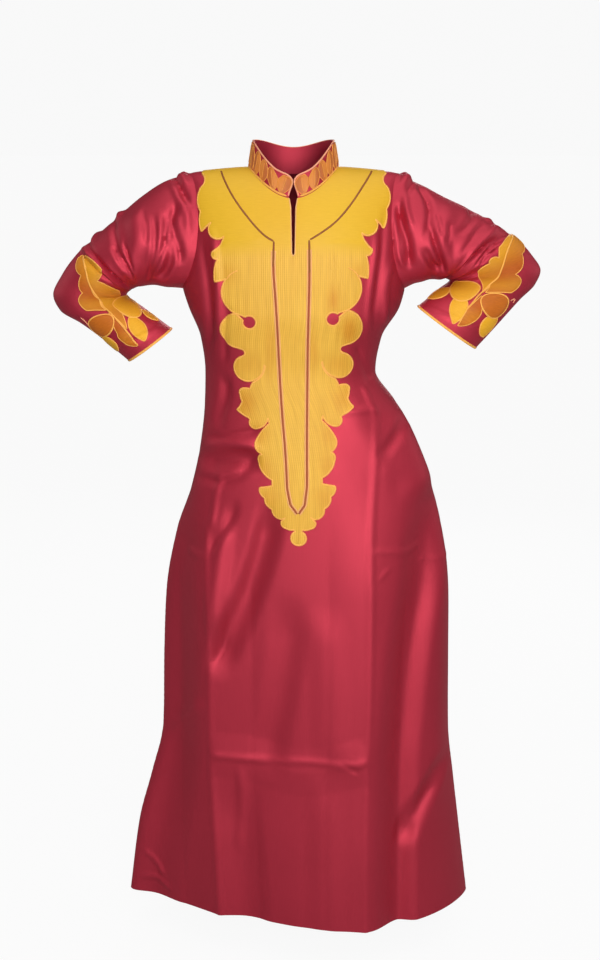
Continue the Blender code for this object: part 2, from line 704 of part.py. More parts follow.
def plastron_loop(panel):
    """Edge of the chest embroidery on the front's pattern, just inside neck, slit and shoulders."""
    side = []
    for knot, after in zip(PLASTRON_EDGE, PLASTRON_EDGE[1:]):
        side.extend(arc_places(knot[:2], after[:2], knot.bend, PLASTRON_ARC_STEP))
    reach = np.array(side)

    def on_panel(sign, places):
        drift = PLASTRON_MIDDLE_DRIFT * ease(-places[:, 1] / PLASTRON_DRIFT_LENGTH)
        x = PLASTRON_MIDDLE_TOP + drift + sign * places[:, 0]
        return [panel.seen_at(*place) for place in zip(x, places[:, 1])]

    tip = on_panel(1, np.array([PLASTRON_EDGE[-1][:2]]))
    shoulder = np.linspace(NECK_HALF_WIDTH + PLASTRON_INSET, PLASTRON_SHOULDER_REACH, 5)
    seam_y = panel.toward * PLASTRON_INSET
    right = [panel.plan_at(x, seam_y) for x in shoulder] + on_panel(1, reach)
    left = on_panel(-1, reach)[::-1] + [panel.plan_at(-x, seam_y) for x in shoulder[::-1]]
    degrees = np.array(NECK_DEGREES[:-1])
    neck_left = neck_places(panel, NECK_FRONT, -degrees[::-1], PLASTRON_INSET)
    neck_right = neck_places(panel, NECK_FRONT, degrees, PLASTRON_INSET)
    slit = slit_places(panel, PLASTRON_INSET)
    return (right + tip + left + neck_left + slit[::-1] + neck_right)[::-1]


def arc_loop(knots, step):
    """Closed loop of arcs through a table of knots."""
    loop = []
    for knot, after in zip(knots, [*knots[1:], knots[0]]):
        loop.extend(arc_places(knot[:2], after[:2], knot[2], step))
    return loop


def sleeve_loops():
    """Edges of the leaf, the discs and the petals of the sleeve embroidery."""
    loops = [arc_loop(SLEEVE_LEAF, SLEEVE_ARC_STEP)]
    for disc in SLEEVE_DISCS:
        left = (disc.round - disc.radius, disc.along, 1)
        right = (disc.round + disc.radius, disc.along, 1)
        loops.append(arc_loop([left, right], SLEEVE_ARC_STEP))
    for petal in SLEEVE_PETALS:
        root = (petal.root_round, petal.root_along, petal.bend)
        tip = (petal.tip_round, petal.tip_along, petal.bend)
        loops.append(arc_loop([root, tip], SLEEVE_ARC_STEP))
    return loops


def sleeve_piece(rings, front_edge, back_edge, loops):
    """A sleeve whose armhole edge has the same points as the panels that it is sewn to."""
    line = np.concatenate([front_edge, back_edge[::-1][1:]])
    form = Sleeve(rings, line, SLEEVE_FOLDS)
    half = SLEEVE_GIRTH / 2
    arc = arc_length(line)
    tip = len(front_edge) - 1
    around = np.interp(arc, (0, arc[tip], arc[-1]), (-half, 0, half))
    alongs = np.linspace(0, SLEEVE_LENGTH, int(SLEEVE_LENGTH / SLEEVE_STEP) + 1)
    cuff = np.linspace(half, -half, int(SLEEVE_GIRTH / SLEEVE_STEP) + 1)
    outline = [(place, 0.0) for place in around]
    outline += [(half, along) for along in alongs[1:-1]]
    outline += [(place, SLEEVE_LENGTH) for place in cuff]
    outline += [(-half, along) for along in alongs[-2:0:-1]]
    seams = dict(enumerate(line))
    piece = Piece(form, outline, seams, loops, (), lambda up: SLEEVE_STEP, form.inside_out)
    piece.close()
    return piece


def stand_collar(neck_line, material):
    """Stand collar on the neck line, which runs from the right of the slit round to its left."""
    edge = neck_line + np.array([0, 0, SEAM_GAP])
    arc = arc_length(edge)
    to_end = np.minimum(arc, arc[-1] - arc)
    rise = ease(to_end / COLLAR_RISE_LENGTH)
    height = COLLAR_FRONT_HEIGHT + (COLLAR_SIDE_HEIGHT - COLLAR_FRONT_HEIGHT) * rise
    cut = np.clip(1 - to_end / COLLAR_CORNER, 0, 1)
    height -= COLLAR_CORNER * (1 - np.sqrt(1 - cut ** 2))
    inward = -edge * np.array([1, 1, 0])
    inward /= np.linalg.norm(inward, axis=1)[:, None]
    shares = np.linspace(0, 1, 4)
    rows = [edge + height[:, None] * share * (inward * COLLAR_LEAN + (0, 0, 1)) for share in shares]
    grid = np.array(rows)
    count = len(edge)
    faces = []
    for r in range(len(shares) - 1):
        for c in range(count - 1):
            a = r * count + c
            faces.append((a, a + count, a + count + 1))
            faces.append((a, a + count + 1, a + 1))
    normals = grid_normals(grid)
    if np.sum(normals * inward[None]) > 0:
        normals = -normals
    else:
        faces = [face[::-1] for face in faces]
    cloth_wall("collar", grid.reshape(-1, 3), normals.reshape(-1, 3), np.array(faces),
               -COLLAR_CLOTH, 0, material)


# The gown
for old in list(bpy.data.objects):
    bpy.data.objects.remove(old, do_unlink=True)
GOWN = bpy.data.collections.new("grand_boubou")
bpy.context.scene.collection.children.link(GOWN)

crimson = fabric("crimson satin", (0.43, 0.035, 0.06), 0.38)
yellow = fabric("yellow embroidery", (0.80, 0.48, 0.05), 0.55)
orange = fabric("orange embroidery", (0.72, 0.28, 0.05), 0.55)

front_form = Panel(-1, "front", FRONT_FULLNESS, FRONT_FOLDS, True)
back_form = Panel(1, "back", BACK_FULLNESS, BACK_FOLDS, False)

neck_degrees = np.array(NECK_DEGREES)
front_neck = (neck_places(front_form, NECK_FRONT, neck_degrees[::-1])
              + slit_places(front_form) + neck_places(front_form, NECK_FRONT, -neck_degrees))
back_degrees = np.linspace(80, -80, 17)
back_neck = neck_places(back_form, NECK_BACK, back_degrees)

front_lines = crease_lines(front_form, FRONT_FOLDS)
back_lines = crease_lines(back_form, BACK_FOLDS)
front_outline, front_seams = panel_outline(front_form, front_neck, front_lines)
back_outline, back_seams = panel_outline(back_form, back_neck, back_lines)
embroidered = plastron_loop(front_form)
front = Piece(front_form, front_outline, front_seams, [embroidered], front_lines, body_step)
back = Piece(back_form, back_outline, back_seams, [], back_lines,
             lambda up: BACK_COARSER * body_step(up), flip=True)

cuff_loops = sleeve_loops()
pieces = {"front": front, "back": back}
for hand, rings in (("left", LEFT_RINGS), ("right", RIGHT_RINGS)):
    edges = []
    for form in (front_form, back_form):
        edge = form.worn(form.armhole(hand, ARMHOLE_POINTS))
        edge[0] = side_seam(hand, np.array([UNDERARM_Z]))[0]
        tip_x = SHOULDER_TIP_X if hand == "right" else -SHOULDER_TIP_X
        edge[-1] = shoulder_seam(np.array([tip_x]))[0]
        edges.append(edge)
    pieces["sleeve_" + hand] = sleeve_piece(rings, *edges, cuff_loops)

join_seams(list(pieces.values()))
for name, piece in pieces.items():
    cloth_wall(name, piece.points, piece.normals, piece.faces, -CLOTH, 0, crimson)
cloth_wall("plastron", front.points, front.normals, front.part_inside([embroidered]),
           WORK_GAP, WORK_GAP + WORK_THICKNESS, yellow)
for hand in ("left", "right"):
    sleeve = pieces["sleeve_" + hand]
    cloth_wall("sleeve_work_" + hand, sleeve.points, sleeve.normals, sleeve.part_inside(cuff_loops),
               WORK_GAP, WORK_GAP + WORK_THICKNESS, orange)

right_front = front_form.worn(neck_places(front_form, NECK_FRONT, neck_degrees))
left_front = front_form.worn(neck_places(front_form, NECK_FRONT, -neck_degrees[::-1]))
shoulder_points = shoulder_seam(np.array([NECK_HALF_WIDTH, -NECK_HALF_WIDTH]))
back_line = back_form.worn(back_neck)
neck_line = [right_front, shoulder_points[:1], back_line, shoulder_points[1:], left_front]
stand_collar(np.concatenate(neck_line), orange)
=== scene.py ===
import math
from collections import namedtuple

import bpy
import numpy as np
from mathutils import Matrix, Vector
from mathutils.geometry import delaunay_2d_cdt
from mathutils.kdtree import KDTree


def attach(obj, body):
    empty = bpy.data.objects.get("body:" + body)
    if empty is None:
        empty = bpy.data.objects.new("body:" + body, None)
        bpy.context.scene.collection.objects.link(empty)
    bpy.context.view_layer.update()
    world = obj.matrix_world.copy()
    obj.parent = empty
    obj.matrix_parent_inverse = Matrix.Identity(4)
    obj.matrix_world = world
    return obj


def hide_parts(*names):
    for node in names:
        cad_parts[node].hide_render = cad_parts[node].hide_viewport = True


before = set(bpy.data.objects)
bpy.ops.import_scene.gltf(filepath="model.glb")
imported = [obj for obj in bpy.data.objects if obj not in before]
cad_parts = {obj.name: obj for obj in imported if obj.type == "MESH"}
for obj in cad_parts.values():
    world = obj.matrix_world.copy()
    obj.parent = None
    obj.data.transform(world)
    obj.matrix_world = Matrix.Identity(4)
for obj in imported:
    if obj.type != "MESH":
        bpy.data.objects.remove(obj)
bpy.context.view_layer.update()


# Studio
# A pale seamless floor about 75 mm under the hem, with soft lamps in front, at both sides and behind,
# and a sun overhead. The camera stands 2.6 m in front, over the collar, and looks down along the gown.
FLOOR_Z = -1.478
FLOOR_RADIUS = 60.0
FLOOR_SIDES = 96
FLOOR_GLOW = 0.925
CAMERA_PLACE = (0.0114, -2.6, 0.0835)
CAMERA_DOWN = math.radians(14.06)
CAMERA_LENS = 54.375
CAMERA_SENSOR = 36
PAPER = (0.945, 0.945, 0.945, 1)
ROOM = (1.0, 0.96, 0.94, 1)
ROOM_LIGHT = 0.055

scene = bpy.context.scene
scene.view_settings.view_transform = "Standard"
camera = bpy.data.objects.new("camera", bpy.data.cameras.new("camera"))
camera.data.lens = CAMERA_LENS
camera.data.sensor_width = CAMERA_SENSOR
camera.location = CAMERA_PLACE
camera.rotation_euler = (math.pi / 2 - CAMERA_DOWN, 0, 0)
scene.collection.objects.link(camera)
scene.camera = camera


class Wire:
    """A value between two nodes; arithmetic on it adds Math nodes."""

    def __init__(self, nodes, socket):
        self.nodes = nodes
        self.socket = socket

    def math(self, operation, *values):
        return self.nodes.node("Math", {"operation": operation}, dict(enumerate(values)))

    def __add__(self, other):
        return self.math("ADD", self, other)

    def __sub__(self, other):
        return self.math("SUBTRACT", self, other)

    def __rsub__(self, other):
        return self.math("SUBTRACT", other, self)

    def __mul__(self, other):
        return self.math("MULTIPLY", self, other)

    __radd__ = __add__
    __rmul__ = __mul__


class Nodes:
    """The nodes of a finish, or of the light all round."""

    def __init__(self, tree):
        self.tree = tree

    def node(self, kind, settings, values, output=0):
        """Adds a node and returns one of its outputs."""
        node = self.tree.nodes.new("ShaderNode" + kind)
        for name, value in settings.items():
            setattr(node, name, value)
        for socket, value in values.items():
            self.feed(node.inputs[socket], value)
        return Wire(self, node.outputs[output])

    def feed(self, socket, value):
        if isinstance(value, Wire):
            self.tree.links.new(value.socket, socket)
        else:
            socket.default_value = value

    def show(self, output, lit, seen):
        """Lets the camera see one surface, and the light fall on another."""
        camera_ray = self.node("LightPath", {}, {}, "Is Camera Ray")
        shown = self.node("MixShader", {}, {0: camera_ray, 1: lit, 2: seen})
        self.feed(self.tree.nodes[output].inputs["Surface"], shown)


class Finish(Nodes):
    """A material for one kind of cloth, thread or floor."""

    def __init__(self, name, constants):
        self.material = bpy.data.materials.new(name)
        self.material.use_nodes = True
        super().__init__(self.material.node_tree)
        self.shader = self.tree.nodes["Principled BSDF"]
        for socket, value in constants.items():
            self.shader.inputs[socket].default_value = value

    def mix(self, low, high, share):
        """Colour between two, by a share."""
        low, high = ((*c, 1) if isinstance(c, tuple) else c for c in (low, high))
        return self.node("Mix", {"data_type": "RGBA"}, {0: share, 6: low, 7: high}, 2)

    def noise(self, scale, detail=2.0):
        """Noise over the pattern, finer across or up as the scales say."""
        pattern = self.node("Attribute", {"attribute_name": "pattern"}, {}, "Vector")
        stretched = self.node("VectorMath", {"operation": "MULTIPLY"}, {0: pattern, 1: scale})
        return self.node("TexNoise", {}, {"Vector": stretched, "Scale": 1.0, "Detail": detail})

    def pattern(self, axis):
        """Distance over the pattern along one of its axes, in metres."""
        place = self.node("Attribute", {"attribute_name": "pattern"}, {}, "Vector")
        return self.node("SeparateXYZ", {}, {0: place}, axis)

    def tone(self):
        """How deep the colour is at each place, from 0 to 1."""
        return self.node("Attribute", {"attribute_name": "tone"}, {}, "Fac")

    def waves(self, axis, pitch):
        """Ridges across the pattern, from 0 to 1, one for each pitch."""
        turn = self.pattern(axis) * (2 * math.pi / pitch)
        return 0.5 + 0.5 * turn.math("SINE", turn)

    def colour(self, wire):
        self.feed(self.shader.inputs["Base Color"], wire)

    def roughness(self, wire):
        self.feed(self.shader.inputs["Roughness"], wire)

    def bump(self, height, depth):
        """Feeds a height from 0 to 1 to the shader's normal."""
        normal = self.node("Bump", {}, {"Height": height, "Distance": depth, "Strength": 1.0})
        self.feed(self.shader.inputs["Normal"], normal)


# The backdrop is paper white for the camera, and only a faint light for the cloth
world = bpy.data.worlds.new("studio")
scene.world = world
world.use_nodes = True
room = Nodes(world.node_tree)
around = room.tree.nodes["Background"]
around.inputs["Color"].default_value = ROOM
around.inputs["Strength"].default_value = ROOM_LIGHT
paper = room.node("Background", {}, {"Color": PAPER})
room.show("World Output", Wire(room, around.outputs[0]), paper)

# Strength is in watts, and for the sun per square metre; size in metres, and for the sun its angle
Lamp = namedtuple("Lamp", "name kind place aim strength size")
LAMPS = (
    Lamp("key", "AREA", (0.16, -2.3, 0.0), (0.0, 0.0, -0.47), 46, 0.9),
    Lamp("right", "AREA", (2.6, 0.7, 0.2), (0.0, 0.0, -0.6), 9, 1.4),
    Lamp("left", "AREA", (-2.6, 0.9, 0.4), (0.0, 0.0, -0.6), 8, 1.4),
    Lamp("behind", "AREA", (0.4, 2.8, 0.3), (0.0, 0.0, -0.6), 26, 1.6),
    Lamp("overhead", "SUN", (0.3, -0.6, 2.6), (0.0, 0.0, 0.0), 1.8, 1.2),
)
for lamp in LAMPS:
    light = bpy.data.lights.new(lamp.name, lamp.kind)
    light.energy = lamp.strength
    if lamp.kind == "AREA":
        light.size = lamp.size
    else:
        light.angle = lamp.size
    holder = bpy.data.objects.new(lamp.name, light)
    holder.location = lamp.place
    way = Vector(lamp.aim) - Vector(lamp.place)
    holder.rotation_euler = way.to_track_quat("-Z", "Y").to_euler()
    scene.collection.objects.link(holder)

floor_finish = Finish("pale floor", {
    "Base Color": (0.04, 0.04, 0.04, 1), "Roughness": 1, "Specular IOR Level": 0,
    "Emission Color": (1, 1, 1, 1), "Emission Strength": FLOOR_GLOW})
grey = floor_finish.node("BsdfDiffuse", {}, {"Color": (0.3, 0.3, 0.3, 1)})
floor_finish.show("Material Output", grey, Wire(floor_finish, floor_finish.shader.outputs[0]))
turns = np.linspace(0, 2 * math.pi, FLOOR_SIDES, endpoint=False)
floor_rim = [(FLOOR_RADIUS * math.cos(turn), FLOOR_RADIUS * math.sin(turn), FLOOR_Z) for turn in turns]
floor_mesh = bpy.data.meshes.new("floor")
floor_mesh.from_pydata(floor_rim, [], [list(range(FLOOR_SIDES))])
floor_mesh.materials.append(floor_finish.material)
floor = bpy.data.objects.new("floor", floor_mesh)
scene.collection.objects.link(floor)


# Front and back
# Two panels of crimson satin, cut straight at the shoulder and slim to the waist, then flared to a
# hem of 1.55 m. Two pressed creases run down the skirt and one crosses it, from how it was packed.
HEM_Z = -1.4015
BUST_Z = -0.200
UNDERARM_Z = -0.215
CLOTH = 0.0010
NECK_HALF_WIDTH = 0.0785
NECK_FRONT = 0.080
NECK_BACK = 0.066
SHOULDER_TIP_X = 0.185
SHOULDER_DROP = 0.012
FRONT_FULLNESS = 0.90
BACK_FULLNESS = 0.50
SLIT_HALF_WIDTH = 0.0042
SLIT_FOOT_HALF_WIDTH = 0.0023
SLIT_TOP_Z = -0.056
SLIT_BOTTOM_Z = -0.143
SLIT_POINT = 0.003
SLIT_START = 0.12
FRONT_STEP = 0.0052
BACK_STEP = 0.0068
TRIANGLE_ROW = 0.866
ARMHOLE_POINTS = 60
SHOULDER_POINTS = 22
SIDE_POINTS = 230
NECK_DEGREES = np.linspace(5.5, 84, 35)

# Level sections from the hem up: outline left and right, depth to the front and back, how square
# the section is (2 is an ellipse) and how far the front swings forward on its right
Section = namedtuple("Section", "z left right front back square swing")
SECTIONS = (
    Section(-1.4015, -0.326, 0.342, 0.147, 0.168, 1.60, -0.085),
    Section(-1.2500, -0.304, 0.322, 0.142, 0.162, 1.65, -0.072),
    Section(-1.1500, -0.277, 0.309, 0.138, 0.158, 1.70, -0.062),
    Section(-1.0500, -0.253, 0.297, 0.135, 0.154, 1.80, -0.052),
    Section(-0.9000, -0.248, 0.293, 0.131, 0.149, 1.90, -0.038),
    Section(-0.7800, -0.241, 0.290, 0.127, 0.144, 2.00, -0.028),
    Section(-0.6600, -0.218, 0.276, 0.122, 0.138, 2.10, -0.020),
    Section(-0.5800, -0.190, 0.256, 0.118, 0.132, 2.15, -0.014),
    Section(-0.4900, -0.170, 0.221, 0.110, 0.120, 2.20, -0.008),
    Section(-0.4200, -0.162, 0.186, 0.103, 0.104, 2.25, -0.003),
    Section(-0.3600, -0.160, 0.148, 0.101, 0.094, 2.30, 0.000),
    Section(-0.3000, -0.167, 0.158, 0.108, 0.093, 2.30, 0.000),
    Section(-0.2450, -0.188, 0.190, 0.116, 0.100, 2.25, 0.000),
    Section(-0.2000, -0.202, 0.202, 0.116, 0.106, 2.20, 0.000),
)

# Armhole edge: how far out it lies on each side, at shares of the way from underarm to shoulder
Armhole = namedtuple("Armhole", "way left right")
ARMHOLE = (
    Armhole(0.00, -0.201, 0.201),
    Armhole(0.12, -0.183, 0.184),
    Armhole(0.30, -0.169, 0.173),
    Armhole(0.50, -0.165, 0.170),
    Armhole(0.70, -0.169, 0.173),
    Armhole(0.85, -0.176, 0.178),
    Armhole(1.00, -0.185, 0.185),
)

# Folds: the line that each follows, seen from the front, half width, height over the cloth, shape, by
# what share its left half is wider than its right one, and what share of it each end fades over
Fold = namedtuple("Fold", "path width height shape lean ends", defaults=("soft", 0, 0.25))

# How round the top of a pressed edge or a crease is, how much steeper a crease gets, and how far
# small folds wander off their line and swell along it, all as shares of their width or height
BLUNT = {"pressed": 0.04, "crease": 0.12}
CREASE_POWER = 1.7
WANDER = 0.15
SWELL = 0.2

FRONT_RIDGE_RIGHT = ((0.146, -0.380), (0.142, -0.540), (0.135, -0.670), (0.136, -0.860),
                     (0.134, -1.065), (0.132, -1.230), (0.133, -1.396), (0.134, -1.650))
FRONT_RIDGE_LEFT = ((-0.160, -0.600), (-0.157, -0.687), (-0.149, -0.883), (-0.150, -1.070),
                    (-0.144, -1.232), (-0.138, -1.396), (-0.129, -1.650))
FRONT_FOLDS = (
    # Pressed edges of the middle panel, and the hollows beside them
    Fold(FRONT_RIDGE_RIGHT[1:], 0.070, 0.014, "pressed", 0, 0.2),
    Fold(FRONT_RIDGE_LEFT, 0.070, 0.015, "pressed", 0, 0.2),
    Fold(((0.260, -0.540), (0.252, -0.640), (0.243, -0.740), (0.226, -0.830), (0.215, -0.920),
          (0.209, -1.000), (0.203, -1.080), (0.201, -1.250), (0.204, -1.650)),
         0.050, -0.020, "soft", 0.28, 0.12),
    Fold(((-0.200, -0.560), (-0.222, -0.640), (-0.236, -0.760), (-0.240, -0.883), (-0.246, -1.070),
          (-0.272, -1.232), (-0.294, -1.396), (-0.300, -1.650)), 0.084, -0.022, "soft", 0, 0.12),
    # Skirt, left
    Fold(((-0.038, -0.570), (-0.048, -0.618), (-0.059, -0.666), (-0.078, -0.730), (-0.100, -0.790),
          (-0.124, -0.855), (-0.150, -0.925)), 0.036, -0.014, "soft", -0.2, 0.2),
    Fold(((-0.118, -0.600), (-0.130, -0.690), (-0.138, -0.780), (-0.142, -0.850)), 0.024, 0.007),
    Fold(((-0.160, -0.964), (-0.203, -1.011), (-0.252, -1.063)), 0.020, 0.004, "soft", 0.3),
    # Skirt, middle
    Fold(((-0.006, -0.740), (-0.012, -0.850), (-0.026, -0.950), (-0.044, -1.050), (-0.048, -1.130)),
         0.044, -0.0075),
    Fold(((0.055, -0.760), (0.066, -0.950), (0.070, -1.100)), 0.045, 0.005),
    Fold(((-0.108, -1.100), (-0.104, -1.200), (-0.094, -1.320), (-0.088, -1.550)), 0.052, -0.0085),
    Fold(((0.055, -1.060), (0.060, -1.250), (0.066, -1.550)), 0.045, 0.005),
    # Skirt, right
    Fold(((0.272, -0.560), (0.268, -1.250)), 0.040, 0.006),
    Fold(((0.292, -1.080), (0.256, -1.145), (0.226, -1.200), (0.205, -1.260)), 0.028, -0.010),
    # Waist
    Fold(((-0.175, -0.532), (-0.138, -0.515), (-0.097, -0.508), (-0.050, -0.512)), 0.028, -0.012),
    Fold(((0.085, -0.400), (0.195, -0.560)), 0.044, 0.004),
    Fold(((0.192, -0.400), (0.226, -0.500), (0.246, -0.600)), 0.060, 0.011),
)
FRONT_CREASES = (
    # Where it was folded and pressed in its pack
    Fold(FRONT_RIDGE_RIGHT, 0.009, 0.0017, "pressed", 0, 0.05),
    Fold(FRONT_RIDGE_LEFT, 0.009, 0.0018, "pressed", 0, 0.05),
    Fold(((-0.156, -1.072), (-0.058, -1.076), (0.041, -1.068), (0.102, -1.069), (0.139, -1.058)),
         0.010, 0.0022, "pressed", 0, 0.06),
    Fold(((-0.156, -1.078), (0.000, -1.084), (0.139, -1.068)), 0.045, 0.0035, "pressed", 0, 0.06),
    Fold(((0.086, -1.066), (0.102, -1.074), (0.118, -1.086)), 0.006, -0.0024, "crease"),
    Fold(((0.139, -0.666), (0.197, -0.677), (0.244, -0.668)), 0.009, 0.0020, "pressed", 0, 0.1),
    Fold(((0.240, -0.700), (0.262, -0.703), (0.288, -0.706)), 0.008, 0.0018, "pressed", 0, 0.1),
    Fold(((0.144, -0.724), (0.160, -0.712), (0.176, -0.698)), 0.005, 0.0014, "pressed"),
    Fold(((-0.208, -0.689), (-0.156, -0.691)), 0.010, 0.0020, "pressed"),
    Fold(((-0.128, -0.130), (-0.090, -0.121), (-0.045, -0.124)), 0.008, 0.0010, "pressed"),
    Fold(((0.045, -0.126), (0.146, -0.130)), 0.008, 0.0012, "pressed"),
    # Skirt
    Fold(((-0.101, -1.080), (-0.097, -1.176), (-0.107, -1.280)), 0.014, 0.0030),
    Fold(((-0.308, -1.308), (-0.281, -1.328), (-0.258, -1.366)), 0.009, 0.0038),
    Fold(((-0.316, -1.373), (-0.282, -1.367), (-0.236, -1.384)), 0.009, 0.0034),
    Fold(((0.270, -1.130), (0.240, -1.185), (0.215, -1.250)), 0.012, -0.0030),
    Fold(((-0.110, -0.780), (-0.128, -0.850), (-0.150, -0.905)), 0.010, -0.0022),
    # Waist, left and right
    Fold(((-0.120, -0.350), (-0.125, -0.404), (-0.134, -0.462)), 0.016, -0.0060),
    Fold(((-0.160, -0.480), (-0.134, -0.474), (-0.105, -0.463), (-0.050, -0.454)),
         0.012, -0.0050, "crease"),
    Fold(((-0.168, -0.499), (-0.123, -0.482), (-0.079, -0.482), (-0.045, -0.500)), 0.014, 0.0045),
    Fold(((-0.182, -0.551), (-0.138, -0.555), (-0.105, -0.540), (-0.070, -0.508)),
         0.014, -0.0050, "crease"),
    Fold(((-0.130, -0.528), (-0.141, -0.591), (-0.155, -0.650)), 0.010, 0.0034),
    Fold(((-0.095, -0.580), (-0.120, -0.624), (-0.138, -0.654), (-0.152, -0.694)),
         0.016, -0.0055, "crease"),
    Fold(((0.118, -0.376), (0.135, -0.403), (0.147, -0.436)), 0.008, 0.0030),
    Fold(((0.080, -0.420), (0.116, -0.419), (0.155, -0.424)), 0.010, 0.0030),
    Fold(((0.200, -0.436), (0.180, -0.470), (0.154, -0.512)), 0.018, -0.0060),
    Fold(((0.105, -0.300), (0.128, -0.345), (0.140, -0.385)), 0.012, -0.0040, "crease"),
    # Below the armholes
    Fold(((-0.158, -0.090), (-0.156, -0.131), (-0.149, -0.190), (-0.148, -0.261), (-0.152, -0.345)),
         0.012, -0.0052, "crease"),
    Fold(((-0.140, -0.090), (-0.133, -0.172), (-0.129, -0.224), (-0.127, -0.310)), 0.012, 0.0048),
    Fold(((-0.114, -0.225), (-0.118, -0.280), (-0.124, -0.345)), 0.010, -0.0036, "crease"),
    Fold(((0.164, -0.050), (0.151, -0.139), (0.143, -0.198), (0.136, -0.290)),
         0.012, -0.0052, "crease"),
    Fold(((0.146, -0.090), (0.139, -0.173), (0.135, -0.242), (0.128, -0.310)), 0.012, 0.0042),
    Fold(((0.170, -0.150), (0.162, -0.215), (0.156, -0.285)), 0.010, 0.0040),
)
BACK_RIDGE_RIGHT = ((0.140, -0.500), (0.138, -0.900), (0.136, -1.650))
BACK_RIDGE_LEFT = ((-0.135, -0.560), (-0.140, -0.950), (-0.138, -1.650))
BACK_FOLDS = (
    Fold(BACK_RIDGE_RIGHT, 0.070, 0.012, "pressed"),
    Fold(BACK_RIDGE_LEFT, 0.070, 0.012, "pressed"),
    Fold(((0.196, -0.600), (0.172, -0.780), (0.164, -1.000), (0.168, -1.650)),
         0.036, -0.010, "soft", -0.25, 0.15),
    Fold(((-0.190, -0.660), (-0.170, -0.820), (-0.166, -1.050), (-0.170, -1.650)),
         0.036, -0.010, "soft", 0.25, 0.15),
    Fold(((0.010, -0.540), (-0.006, -0.780), (0.010, -1.040), (0.030, -1.400)), 0.056, -0.013),
    Fold(((-0.050, -0.300), (-0.092, -0.410), (-0.150, -0.540)), 0.040, -0.011),
    Fold(((0.060, -0.300), (0.110, -0.400), (0.180, -0.520)), 0.040, 0.010),
    Fold(((0.215, -0.620), (0.232, -1.000), (0.240, -1.550)), 0.046, -0.009),
    Fold(((-0.185, -0.700), (-0.225, -1.100), (-0.238, -1.550)), 0.046, 0.009),
    Fold(((0.075, -0.600), (0.072, -0.850), (0.056, -1.100)), 0.040, 0.006),
    Fold(((-0.075, -0.640), (-0.085, -0.900), (-0.070, -1.200), (-0.064, -1.550)), 0.042, 0.007),
    Fold(((0.080, -1.060), (0.076, -1.250), (0.085, -1.550)), 0.040, -0.008),
)
BACK_CREASES = (
    Fold(BACK_RIDGE_RIGHT, 0.009, 0.0017, "pressed", 0, 0.05),
    Fold(BACK_RIDGE_LEFT, 0.009, 0.0018, "pressed", 0, 0.05),
    Fold(((-0.285, -1.068), (-0.060, -1.074), (0.120, -1.068), (0.292, -1.073)),
         0.011, 0.0022, "pressed", 0, 0.05),
    Fold(((-0.215, -0.668), (0.010, -0.673), (0.262, -0.670)), 0.011, 0.0018, "pressed", 0, 0.08),
    Fold(((-0.100, -0.110), (-0.070, -0.200), (-0.062, -0.330)), 0.020, 0.0050),
    Fold(((0.110, -0.100), (0.080, -0.200), (0.070, -0.330)), 0.022, 0.0050),
    Fold(((-0.158, -0.090), (-0.146, -0.170), (-0.140, -0.270)), 0.012, -0.0050, "crease"),
    Fold(((0.160, -0.090), (0.150, -0.170), (0.143, -0.270)), 0.012, -0.0050, "crease"),
    Fold(((-0.168, -0.350), (-0.100, -0.378), (-0.036, -0.400)), 0.014, -0.0055, "crease"),
    Fold(((-0.168, -0.392), (-0.095, -0.432), (-0.028, -0.452)), 0.016, -0.0055, "crease"),
    Fold(((-0.165, -0.430), (-0.100, -0.480), (-0.056, -0.520)), 0.016, -0.0050, "crease"),
    Fold(((0.156, -0.342), (0.095, -0.370), (0.040, -0.392)), 0.014, -0.0055, "crease"),
    Fold(((0.180, -0.405), (0.110, -0.440), (0.046, -0.466)), 0.016, -0.0050, "crease"),
    Fold(((0.205, -0.460), (0.150, -0.500), (0.096, -0.540)), 0.016, -0.0050, "crease"),
    Fold(((-0.290, -1.290), (-0.265, -1.320), (-0.236, -1.370)), 0.010, 0.0036),
    Fold(((0.310, -1.300), (0.286, -1.330), (0.262, -1.372)), 0.010, 0.0036),
    Fold(((-0.206, -1.130), (-0.214, -1.280), (-0.206, -1.450)), 0.026, -0.0055),
)


def smooth(knots, values, at):
    """Cubic curve through the values at the knots, with no overshoot between two of them."""
    knots = np.asarray(knots, float)
    values = np.asarray(values, float)
    at = np.clip(at, knots[0], knots[-1])
    slope = np.diff(values) / np.diff(knots)
    product = slope[:-1] * slope[1:]
    tangent = np.concatenate(([slope[0]], np.zeros(len(product)), [slope[-1]]))
    same = product > 0
    tangent[1:-1][same] = 2 * product[same] / (slope[:-1] + slope[1:])[same]
    i = np.clip(np.searchsorted(knots, at) - 1, 0, len(slope) - 1)
    width = knots[i + 1] - knots[i]
    t = (at - knots[i]) / width
    ends = values[i] * (1 - t) ** 2 * (1 + 2 * t) + values[i + 1] * t ** 2 * (3 - 2 * t)
    return ends + width * t * (1 - t) * (tangent[i] * (1 - t) - tangent[i + 1] * t)


def column(table, name):
    return [getattr(row, name) for row in table]


def ease(share):
    share = np.clip(share, 0, 1)
    return share * share * (3 - 2 * share)


def unit(vectors):
    return vectors / np.maximum(np.linalg.norm(vectors, axis=-1, keepdims=True), 1e-12)


def arc_length(line):
    """Distance along a line of points, at each of them."""
    return np.concatenate(([0], np.cumsum(np.linalg.norm(np.diff(line, axis=0), axis=1))))


def points_along(line, arc, distances):
    """Points of a line at some distances along it."""
    return np.stack([np.interp(distances, arc, axis) for axis in np.asarray(line).T], axis=1)


def grid_normals(grid):
    """Unit normals of a grid of points, from its rows and columns."""
    return unit(np.cross(np.gradient(grid, axis=1), np.gradient(grid, axis=0)))


